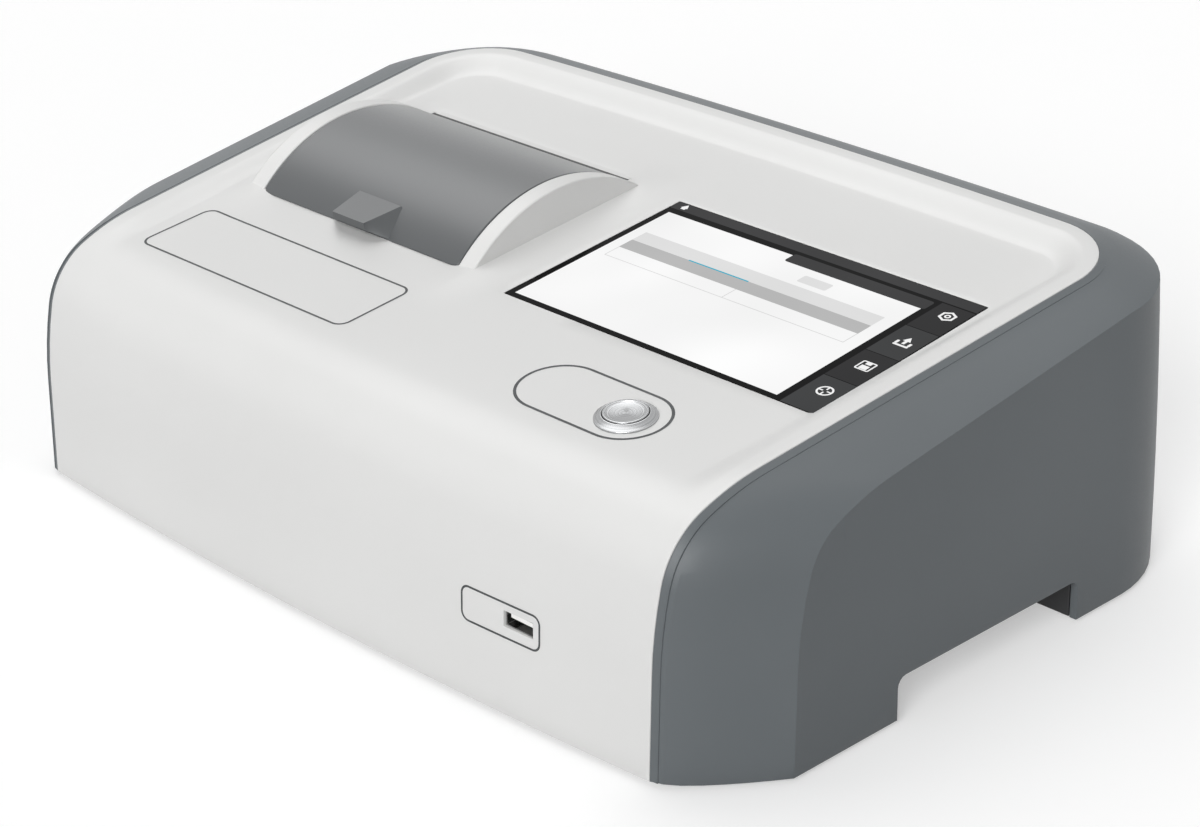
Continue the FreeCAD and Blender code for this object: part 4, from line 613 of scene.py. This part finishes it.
def shape_casing():
    form = bmesh.new()
    rows = [station(form, 0, under, under, CAP_HALF + out, CAP_SKEW, 0, RIM_SLOPE)
            for out, under in EDGE_LINES]
    for step in range(CHAMFER_STEPS + 1):
        share = step / CHAMFER_STEPS
        rows.append(station(form, share, between(*CHAMFER_BACK, share ** PLAN_BEND),
                            between(*CHAMFER_DROP, share ** DROP_BEND),
                            between(CAP_HALF + BEVEL_WIDTH, HALF_WIDTH, share),
                            between(CAP_SKEW, SIDE_SKEW, share), SIDE_DRAFT * share,
                            between(*CHAMFER_SLOPE, share ** DROP_BEND)))
    bridged(form, rows)
    crease = rows[-1]
    # Where each point of the crease goes on the lower edge: spread along the side, straight behind
    side = [e for e in crease
            if all(v.co.y < CORNER_LINE + NEAR and v.co.x > CORNER_X for v in e.verts)]
    total = sum(e.calc_length() for e in side)
    vert = min((v for e in side for v in e.verts), key=lambda v: v.co.z)
    foot, walked, goals, last = vert.co.y, 0.0, {}, None
    while True:
        goals[vert.co.to_tuple(3)] = between(foot, CORNER_LINE, walked / total)
        onward = [e for e in vert.link_edges if e in side and e is not last]
        if not onward:
            break
        last = onward[0]
        walked += last.calc_length()
        vert = last.other_vert(vert)
    # The walls to come are told from the chamfer by their number, which goes back to 0 at the end
    for face in form.faces:
        face.material_index = 1
    made = bmesh.ops.extrude_edge_only(form, edges=crease)["geom"]
    for face in made:
        if isinstance(face, bmesh.types.BMFace):
            face.material_index = 0
    lower = {v for v in made if isinstance(v, bmesh.types.BMVert)}
    falls = [e for v in lower for e in v.link_edges if e.other_vert(v) not in lower]
    for v in lower:
        v.co.y = goals.get(v.co.to_tuple(3), v.co.y)
        v.co.z = 0.0
    bmesh.ops.subdivide_edges(form, edges=falls, cuts=WALL_CUTS, use_grid_fill=True)
    for v in {v for f in form.faces if not f.material_index for v in f.verts}:
        x, y, z = v.co
        if y <= CORNER_LINE + MERGE:
            v.co.x = HALF_WIDTH - SIDE_SKEW * (CORNER_LINE - y) - crown(z)
        elif x > CORNER_X + MERGE:
            flat = Vector((x - CORNER_X, y - CORNER_LINE)).normalized() * (CASING_CORNER - crown(z))
            v.co.x, v.co.y = CORNER_X + flat.x, CORNER_LINE + flat.y
        else:
            v.co.y = CORNER_LINE + CASING_CORNER - crown(z) + BACK_BOW * (1 - (x / CORNER_X) ** 2)
    for face in form.faces:
        face.material_index = 0
    mirrored(form)
    bmesh.ops.translate(form, verts=form.verts, vec=(0, 0, FOOT_DROP))
    for low, high in NEAR_SIDES:
        cut_opening(form, rounded_plate(*GRIP_OPENING), SIDE, low, high)
    cut_opening(form, rounded_plate(*REAR_OPENING), FRONT, *NEAR_BACK)
    return form


# ---- The roll-top lid and the cheeks it runs between ----

# The lid's own place: its axis lies under the deck, angles are counted up from the slope behind it
LID_PLACE = DECK @ Matrix.Translation((0, LID_S, -LID_DEPTH))
# The cut at the lid's front corners, and how its edges are found: near the deck and one wall long
CORNER_CUT, CORNER_ZONE, WALL_SLACK = 2.6, 1.5, 0.1
SHELL_STEPS, LIP_STEPS = 56, 12


def arch(x0, x1, inner, outer, start, end, steps=SHELL_STEPS):
    """A band round the lid's axis, between two radii and two angles in degrees."""
    form = rounded_plate(x0, x1, inner, outer)
    bmesh.ops.delete(form, geom=form.faces[:], context="FACES_ONLY")
    bmesh.ops.rotate(form, verts=form.verts, cent=(0, 0, 0),
                     matrix=Matrix.Rotation(math.radians(start), 3, "X"))
    bmesh.ops.spin(form, geom=form.verts[:] + form.edges[:], cent=(0, 0, 0), axis=(1, 0, 0),
                   angle=math.radians(end - start), steps=steps)
    bmesh.ops.holes_fill(form, edges=form.edges[:], sides=4)
    bmesh.ops.recalc_face_normals(form, faces=form.faces[:])
    return form


def lid_angle(radius, height):
    """The angle at which a radius round the lid's axis reaches a height over the deck."""
    return math.degrees(math.asin((LID_DEPTH + height) / radius))


def shape_lid():
    """The lid's curved shell with its front corners cut back."""
    form = arch(LID_LEFT, LID_RIGHT, LID_RADIUS - LID_WALL, LID_RADIUS,
                lid_angle(LID_RADIUS, -LID_TAIL), 180 - lid_angle(LID_RADIUS, LID_LIFT))
    front = min(v.co.y for v in form.verts)
    low = LID_DEPTH + CORNER_ZONE
    corners = [e for e in form.edges if abs(e.verts[0].co.x - e.verts[1].co.x) < NEAR
               and all(v.co.y < front + LID_WALL and v.co.z < low for v in e.verts)
               and abs(e.calc_length() - LID_WALL) < WALL_SLACK]
    bmesh.ops.bevel(form, geom=corners, offset=CORNER_CUT, segments=3, profile=0.5,
                    affect="EDGES", material=-1)
    bmesh.ops.transform(form, matrix=LID_PLACE, verts=form.verts)
    return form


def shape_cheeks():
    """Both arches beside the lid in one form."""
    top = LID_RADIUS + CHEEK_STAND
    angle = lid_angle(top, -CHEEK_FOOT)
    form = joined([arch(x, x + CHEEK_WIDTH, LID_DEPTH - CHEEK_DEEP, top, angle, 180 - angle)
                   for x in (LID_LEFT - CHEEK_GAP - CHEEK_WIDTH, LID_RIGHT + CHEEK_GAP)])
    bmesh.ops.transform(form, matrix=LID_PLACE, verts=form.verts)
    return form


def shape_slot_lip(inner, outer):
    """A band behind the slot that follows the lid's arc down; the shell slides in under it."""
    form = arch(LID_LEFT - CHEEK_GAP, LID_RIGHT + CHEEK_GAP, inner, outer,
                lid_angle(inner, LIP_LOW), lid_angle(inner, LIP_HIGH), LIP_STEPS)
    made = bmesh.ops.bisect_plane(form, geom=form.verts[:] + form.edges[:] + form.faces[:],
                                  clear_outer=True, plane_co=(0, 0, LID_DEPTH + LIP_STAND),
                                  plane_no=(0, 0, 1))["geom_cut"]
    bmesh.ops.contextual_create(form, geom=[e for e in made if isinstance(e, bmesh.types.BMEdge)])
    bmesh.ops.recalc_face_normals(form, faces=form.faces[:])
    bmesh.ops.transform(form, matrix=LID_PLACE, verts=form.verts)
    return form


# ---- The push button ----

BUTTON_PLACE = DECK @ Matrix.Translation((BUTTON_X, BUTTON_S, 0))
# Half sections through ring and cap: radius and height over the deck
RING_SECTION = [(10.96, -2.4), (11.18, -0.2), (11.18, 0.3), (11.11, 0.45), (10.96, 0.55),
                (10.74, 0.62), (8.78, 1.9), (8.62, 1.98), (8.47, 2.0), (8.34, 1.95), (8.29, 1.8),
                (8.27, -6.0), (9.59, -6.0), (9.59, -2.4), (10.96, -2.4)]
CAP_SECTION = [(0.0, -4.5), (8.01, -4.5), (8.05, 1.95), (8.01, 2.2), (7.88, 2.34), (7.66, 2.4),
               (7.3, 2.4), (7.08, 2.36), (6.95, 2.2), (6.82, 2.02), (6.6, 1.98), (0.0, 1.5)]
TURN_STEPS = 96


def turned_form(points):
    """Draw a half section, turn it once round and put it in the button's place."""
    form = bmesh.new()
    vert = form.verts.new((points[0][0], 0, points[0][1]))
    for (r0, e0), (r1, e1) in zip(points, points[1:]):
        vert = draw(form, vert, (r1 - r0, 0, e1 - e0))
    bmesh.ops.spin(form, geom=form.verts[:] + form.edges[:], cent=(0, 0, 0), axis=(0, 0, 1),
                   angle=2 * math.pi, steps=TURN_STEPS, use_merge=True)
    bmesh.ops.remove_doubles(form, verts=form.verts, dist=MERGE)
    bmesh.ops.recalc_face_normals(form, faces=form.faces[:])
    bmesh.ops.transform(form, matrix=BUTTON_PLACE, verts=form.verts)
    return form


# ---- Lines printed on the cover, and what the screen shows ----

# How high print stands on a surface, from how far above that surface is looked for, and how far
# apart the cuts are that let an outline follow it
INK_HEIGHT, REACH, OUTLINE_STEP = 0.05, 6, 2.0
# Layers of the picture, on the glass and on each other, and how high its signs stand
PAGE, OVER, TOP = (0.0, 0.02), (0.02, 0.04), (0.04, 0.06)
SIGN, SIGN_HIGH = (0.02, 0.06), 0.06


def laid(form, tree, place):
    """Lay a flat form on the surface under it."""
    bmesh.ops.transform(form, matrix=place, verts=form.verts)
    out = (place.to_3x3() @ Vector((0, 0, 1))).normalized()
    for v in form.verts:
        hit = tree.ray_cast(v.co + out * REACH, -out)[0]
        v.co = (hit or v.co) + out * INK_HEIGHT
    return form


def border(outline, width):
    """The border of a flat outline as a band."""
    bmesh.ops.inset_region(outline, faces=outline.faces[:], thickness=width, use_boundary=True,
                           use_even_offset=True)
    middle = max(outline.faces, key=lambda f: len(f.verts))
    bmesh.ops.delete(outline, geom=[middle], context="FACES")
    return outline


def printed_frame(outline, width):
    """A border cut fine enough to follow a curved surface."""
    border(outline, width)
    long = [e for e in outline.edges if e.calc_length() > 2 * OUTLINE_STEP]
    cuts = int(max(e.calc_length() for e in long) / OUTLINE_STEP)
    bmesh.ops.subdivide_edges(outline, edges=long, cuts=cuts, use_grid_fill=True)
    return outline


def thick(form, low, high, place=DECK):
    """Give a flat form its thickness between two heights and put it in its place."""
    made = bmesh.ops.extrude_face_region(form, geom=form.faces[:])["geom"]
    upper = [v for v in made if isinstance(v, bmesh.types.BMVert)]
    bmesh.ops.translate(form, vec=(0, 0, high - low), verts=upper)
    bmesh.ops.translate(form, vec=(0, 0, low), verts=form.verts)
    bmesh.ops.recalc_face_normals(form, faces=form.faces[:])
    bmesh.ops.transform(form, matrix=place, verts=form.verts)
    return form


def tile(x0, x1, s0, s1, radius, low, high):
    """A thin plate on the deck: its edges, corner radius, and heights of underside and top."""
    return thick(rounded_plate(x0, x1, s0, s1, radius), low, high)


def wedge(x, s, radius):
    """An equal-sided triangle that points up the slope."""
    form = bmesh.new()
    bmesh.ops.create_circle(form, cap_ends=True, radius=radius, segments=3)
    bmesh.ops.translate(form, vec=(x, s, 0), verts=form.verts)
    return thick(form, 0.0, SIGN_HIGH)


def ring(x, s, outer, inner, segments=28, teeth=1.0):
    """A flat ring; teeth above 1 push every other corner out."""
    form = bmesh.new()
    bmesh.ops.create_circle(form, cap_ends=True, radius=outer, segments=segments)
    for v in form.verts[:][::2]:
        v.co *= teeth
    bmesh.ops.translate(form, vec=(x, s, 0), verts=form.verts)
    return thick(border(form, outer - inner), 0.0, SIGN_HIGH)


# ---- Building: first the shells, then what is set in them ----

cover_form = shape_cover()
cover_skin = BVHTree.FromBMesh(cover_form)
COVER_WALL, CASING_WALL = 2.6, 3.0
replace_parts(walled(finished("deck_cover", cover_form, "cover_pale", edge_angle=25.0),
                   COVER_WALL, 0.3), "top_cover")
soften(finished("lid_cheeks", shape_cheeks(), "cover_pale", edge_angle=25.0), 0.5)
# A black band in the slot behind the lid: painted shade standing in for the shaded gap there
finished("slot_painted_shade", shape_slot_lip(LID_RADIUS + SLOT_GAP, LID_RADIUS + SHADE_BAND_OUT), "black_plastic")
finished("slot_lip", shape_slot_lip(LID_RADIUS + SHADE_BAND_OUT, LID_RADIUS + LIP_OUT), "cover_pale")
# The surround that joins the opening in the back to the connector panel set 6 mm inside it
SURROUND, SURROUND_WIDTH, SURROUND_DEPTH = (-64.5, 64.5, 19.5, 66.5, 2.0), 2.5, (-135.6, -131.9)
surround = thick(border(rounded_plate(*SURROUND), SURROUND_WIDTH), *SURROUND_DEPTH, FRONT)
soften(finished("panel_surround", surround, "casing_grey"), 0.3)
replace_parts(walled(finished("casing_shell", shape_casing(), "casing_grey", edge_angle=13.0),
                   CASING_WALL, 0.4), "outer_shell")
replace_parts(soften(finished("lid_shell", shape_lid(), "lid_grey", "lid", 25.0), 0.45), "sample_lid")

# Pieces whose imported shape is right: merged copies with their moulded edges rounded
for node, name, slot, body, edge in (
        ("lid_finger_tab", "finger_tab", "lid_grey", "lid", 0.5),
        ("power_inlet", "inlet_body", "black_plastic", "casing", 0.3),
        ("power_switch_frame", "switch_frame", "black_plastic", "casing", 0.4),
        ("power_switch_rocker", "switch_rocker", "black_plastic", "rocker", 0.4),
        ("rear_data_port", "data_port", "plated", "casing", 0.2),
        ("rear_panel", "connector_panel", "sheet", "casing", 0.3),
        ("rubber_feet", "feet", "foot_rubber", "casing", 0.5),
        ("grip_liners", "grip_pockets", "black_plastic", "casing", 0.4),
        ("usb_port", "socket_shell", "plated", "casing", 0.1),
        ("usb_tongue", "socket_tongue", "white_plastic", "casing", 0.15)):
    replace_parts(soften(finished(name, cad_form(node), slot, body), edge, 40.0), node)

# The button's ring and its shallow dished cap: steel whose lathe rings catch the light as spokes.
# Real rings are about 0.1 mm apart, too fine to show, so they are drawn 0.45 mm apart.
turned_steel = metal("steel_turned_rings", "949596", "AFB0B1", 0.25, 0.45, 0.0012,
                     middle=BUTTON_PLACE.translation)
for name, section, body, node in (("button_ring", RING_SECTION, "casing", "button_bezel"),
                                  ("button_dish", CAP_SECTION, "button", "button_cap")):
    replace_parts(finished(name, turned_form(section), "steel", body, 40.0, turned_steel), node)

# Printed outlines: edges, corner radius and segments, width of the line and place
BEFORE_FRONT = FRONT @ Matrix.Translation((0, 0, 142))
for name, edges, radius, segments, width, place in (
        ("button_outline", (56.1, 120.4, -99.6, -67.2), 16.1, 14, 1.15, DECK),
        ("label_outline", (-142.8, -24.0, -99.7, -63.7), 5.0, 8, 0.95, DECK),
        ("socket_outline", (78.2, 114.9, 31.4, 45.2), 3.5, 8, 0.8, BEFORE_FRONT)):
    outline = laid(printed_frame(rounded_plate(*edges, radius, segments), width), cover_skin, place)
    bmesh.ops.recalc_face_normals(outline, faces=outline.faces[:])
    finished(name, outline, "black_plastic", material=printed_ink)

# The glass, and the picture behind it as thin tiles: page, bars, cells and signs. Each has two
# tones and its tiles: edges, corner radius and layer.
GLASS_GAP, GLASS_CORNER, GLASS_THICK = 0.12, 0.8, 2.0
glass = tile(GLASS_LEFT + GLASS_GAP, GLASS_RIGHT - GLASS_GAP, GLASS_LOW + GLASS_GAP,
             GLASS_HIGH - GLASS_GAP, GLASS_CORNER, -GLASS_THICK, 0.0)
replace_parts(soften(finished("touch_panel", glass, "screen_glass"), 0.2), "touch_glass")
# The bars' ends and split, the width of a drawn line, and the edges of the column of cells
BAR_LEFT, BAR_RIGHT, BAR_SPLIT, LINE = 13.2, 129.4, 72.0, 0.35
CELL_LEFT, CELL_RIGHT = 138.7, 153.4
PICTURE = {
    "picture_page": ("EFEFEF", "FDFDFD", [(8.2, 135.3, -42.6, 39.8, 0, *PAGE)]),
    "picture_status_bar": ("333334", "3C3C3D", [(5.4, CELL_RIGHT, 43.3, 49.0, 0, *PAGE),
                                                (71.0, 136.6, 34.6, 41.2, 1.3, *OVER)]),
    "picture_cells_dark": ("29292A", "303031", [(CELL_LEFT, CELL_RIGHT, 22.4, 42.5, 0, *PAGE),
                                                (CELL_LEFT, CELL_RIGHT, -21.8, -0.2, 0, *PAGE)]),
    "picture_cells_mid": ("363738", "414243", [(CELL_LEFT, CELL_RIGHT, 0.2, 22.0, 0, *PAGE),
                                               (CELL_LEFT, CELL_RIGHT, -45.0, -22.2, 0, *PAGE)]),
    "picture_bar_light": ("DADADA", "E2E2E2", [(BAR_LEFT, BAR_RIGHT, 14.2, 21.9, 0, *OVER),
                                               (85.5, 99.0, 24.8, 30.1, 0.8, *OVER)]),
    "picture_bar_mid": ("B2B2B2", "BCBCBC", [(BAR_LEFT, BAR_RIGHT, 7.0, 14.2, 0, *OVER)]),
    "picture_lines": ("CFCFCF", "D9D9D9", [(BAR_LEFT, BAR_RIGHT, -1.0, -1.0 + LINE, 0, *OVER),
                                           (BAR_LEFT, BAR_LEFT + LINE, -1.0, 7.0, 0, *OVER),
                                           (BAR_RIGHT - LINE, BAR_RIGHT, -1.0, 7.0, 0, *OVER),
                                           (BAR_SPLIT, BAR_SPLIT + LINE, -1.0, 7.0, 0, *OVER)]),
    "picture_accent": ("2FA5BE", "45B4CB", [(42.4, 71.8, 13.75, 14.45, 0, *TOP)]),
}
# Signs: a cog, a target, a tray with an arrow and a disk on the cells, and a house on the bar
SIGN_X, COG_S, TARGET_S = 146.6, 35.4, -30.9
signs = [ring(SIGN_X, COG_S, 3.0, 2.1, 12, 1.17), ring(SIGN_X, COG_S, 1.25, 0.6),
         ring(SIGN_X, TARGET_S, 3.2, 2.5), wedge(10.7, 46.6, 1.9),
         tile(9.7, 11.7, 44.6, 46.4, 0, *SIGN), wedge(SIGN_X, 13.6, 1.9),
         tile(SIGN_X - 0.6, SIGN_X + 0.6, 10.4, 13.4, 0, *SIGN),
         tile(SIGN_X - 3.3, SIGN_X + 3.3, 8.6, 9.6, 0.4, *SIGN)]
# The tray's ends and the target's cross hairs, on either side
for side in (-1, 1):
    low, high = sorted((SIGN_X + side * 2.2, SIGN_X + side * 3.3))
    signs.append(tile(low, high, 9.7, 12.0, 0.4, *SIGN))
    low, high = sorted((SIGN_X + side * 0.9, SIGN_X + side * 2.5))
    signs.append(tile(low, high, -31.2, -30.6, 0, *SIGN))
    low, high = sorted((TARGET_S + side * 0.9, TARGET_S + side * 2.5))
    signs.append(tile(SIGN_X - 0.3, SIGN_X + 0.3, low, high, 0, *SIGN))
disk = rounded_plate(SIGN_X - 3.1, SIGN_X + 3.1, -12.5, -6.3, 0.8)
signs += [thick(border(disk, 0.6), *SIGN),
          tile(SIGN_X - 1.7, SIGN_X + 1.7, -11.7, -9.2, 0.2, *SIGN),
          tile(SIGN_X - 1.2, SIGN_X + 1.2, -8.4, -6.9, 0.2, *SIGN)]
finished("picture_icons", joined(signs), "screen_glass",
         material=shown("picture_icons", "F0F0F0", "FAFAFA"))
for name, (low, high, tiles) in PICTURE.items():
    finished(name, joined([tile(*sizes) for sizes in tiles]), "screen_glass",
             material=shown(name, low, high))

# The model's own nodes keep their shapes and get the same finishes
for node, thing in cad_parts.items():
    if thing.data.materials:
        dress(thing, finishes[thing.data.materials[0].name])


def set_camera():
    """Stand the camera where the photograph was taken from."""
    yaw, pitch, roll = (math.radians(a) for a in (CAMERA_YAW, CAMERA_PITCH, CAMERA_ROLL))
    ahead = Vector((-math.sin(yaw) * math.cos(pitch), math.cos(yaw) * math.cos(pitch),
                    -math.sin(pitch)))
    right = ahead.cross(Vector((0, 0, 1))).normalized()
    up = right.cross(ahead)
    across = math.cos(roll) * right + math.sin(roll) * up
    above = math.cos(roll) * up - math.sin(roll) * right
    camera = bpy.data.objects.new("camera", bpy.data.cameras.new("camera"))
    camera.data.lens = CAMERA_LENS
    camera.data.sensor_width = CAMERA_SENSOR
    camera.data.clip_end = CAMERA_REACH
    place = Matrix((across, above, -ahead)).transposed().to_4x4()
    place.translation = Vector(CAMERA_PLACE) * MM
    camera.matrix_world = place
    bpy.context.scene.collection.objects.link(camera)
    bpy.context.scene.camera = camera


def seen_straight(material):
    """1 for rays from the eye, from a mirror or through glass, 0 for those that only light."""
    path = add(material, "ShaderNodeLightPath").outputs
    either = add(material, "ShaderNodeMath", operation="MAXIMUM",
                 links={0: path["Is Camera Ray"], 1: path["Is Glossy Ray"]})
    return add(material, "ShaderNodeMath", operation="MAXIMUM",
               links={0: either.outputs["Value"], 1: path["Is Transmission Ray"]}).outputs["Value"]


# Far soft lamps: where each shines from, its spread in degrees, its power in watts a square metre
LAMPS = {
    "key": ((0.80, -1.80, 1.12), 30, 2.35),
    "overhead": ((-0.70, 0.30, 1.60), 50, 1.15),
}
# How strongly the surround lights the object, how far the floor is lifted to white, half its size
SKY_LIGHT, FLOOR_LIFT, FLOOR_SIZE = 0.2, 0.42, 6.0


def set_studio():
    """A pale floor, a white surround for the eye, and soft lamps."""
    form = bmesh.new()
    bmesh.ops.create_grid(form, x_segments=1, y_segments=1, size=FLOOR_SIZE)
    mesh = bpy.data.meshes.new("floor")
    form.to_mesh(mesh)
    form.free()
    floor = bpy.data.objects.new("floor", mesh)
    bpy.context.scene.collection.objects.link(floor)
    paper, shader = blank("floor_paper")
    lift = add(paper, "ShaderNodeMath", {1: FLOOR_LIFT}, {0: seen_straight(paper)},
               operation="MULTIPLY")
    fill(paper, shader, {"Base Color": colour("D0D0D0"), "Roughness": 0.9,
                         "Specular IOR Level": 0.0, "Emission Color": colour("FFFFFF")},
         {"Emission Strength": lift.outputs["Value"]})
    dress(floor, paper)
    world = bpy.data.worlds.new("studio")
    bpy.context.scene.world = world
    world.use_nodes = True
    white = world.node_tree.nodes["Background"]
    level = add(world, "ShaderNodeMapRange", {"To Min": SKY_LIGHT, "To Max": 1.0},
                {"Value": seen_straight(world)})
    fill(world, white, {"Color": colour("FFFFFF")}, {"Strength": level.outputs["Result"]})
    for name, (place, spread, power) in LAMPS.items():
        lamp = bpy.data.objects.new(name, bpy.data.lights.new(name, "SUN"))
        lamp.data.angle = math.radians(spread)
        lamp.data.energy = power
        lamp.location = place
        lamp.rotation_euler = (-Vector(place)).to_track_quat("-Z", "Y").to_euler()
        bpy.context.scene.collection.objects.link(lamp)


set_camera()
set_studio()
bpy.context.scene.view_settings.view_transform = "Standard"
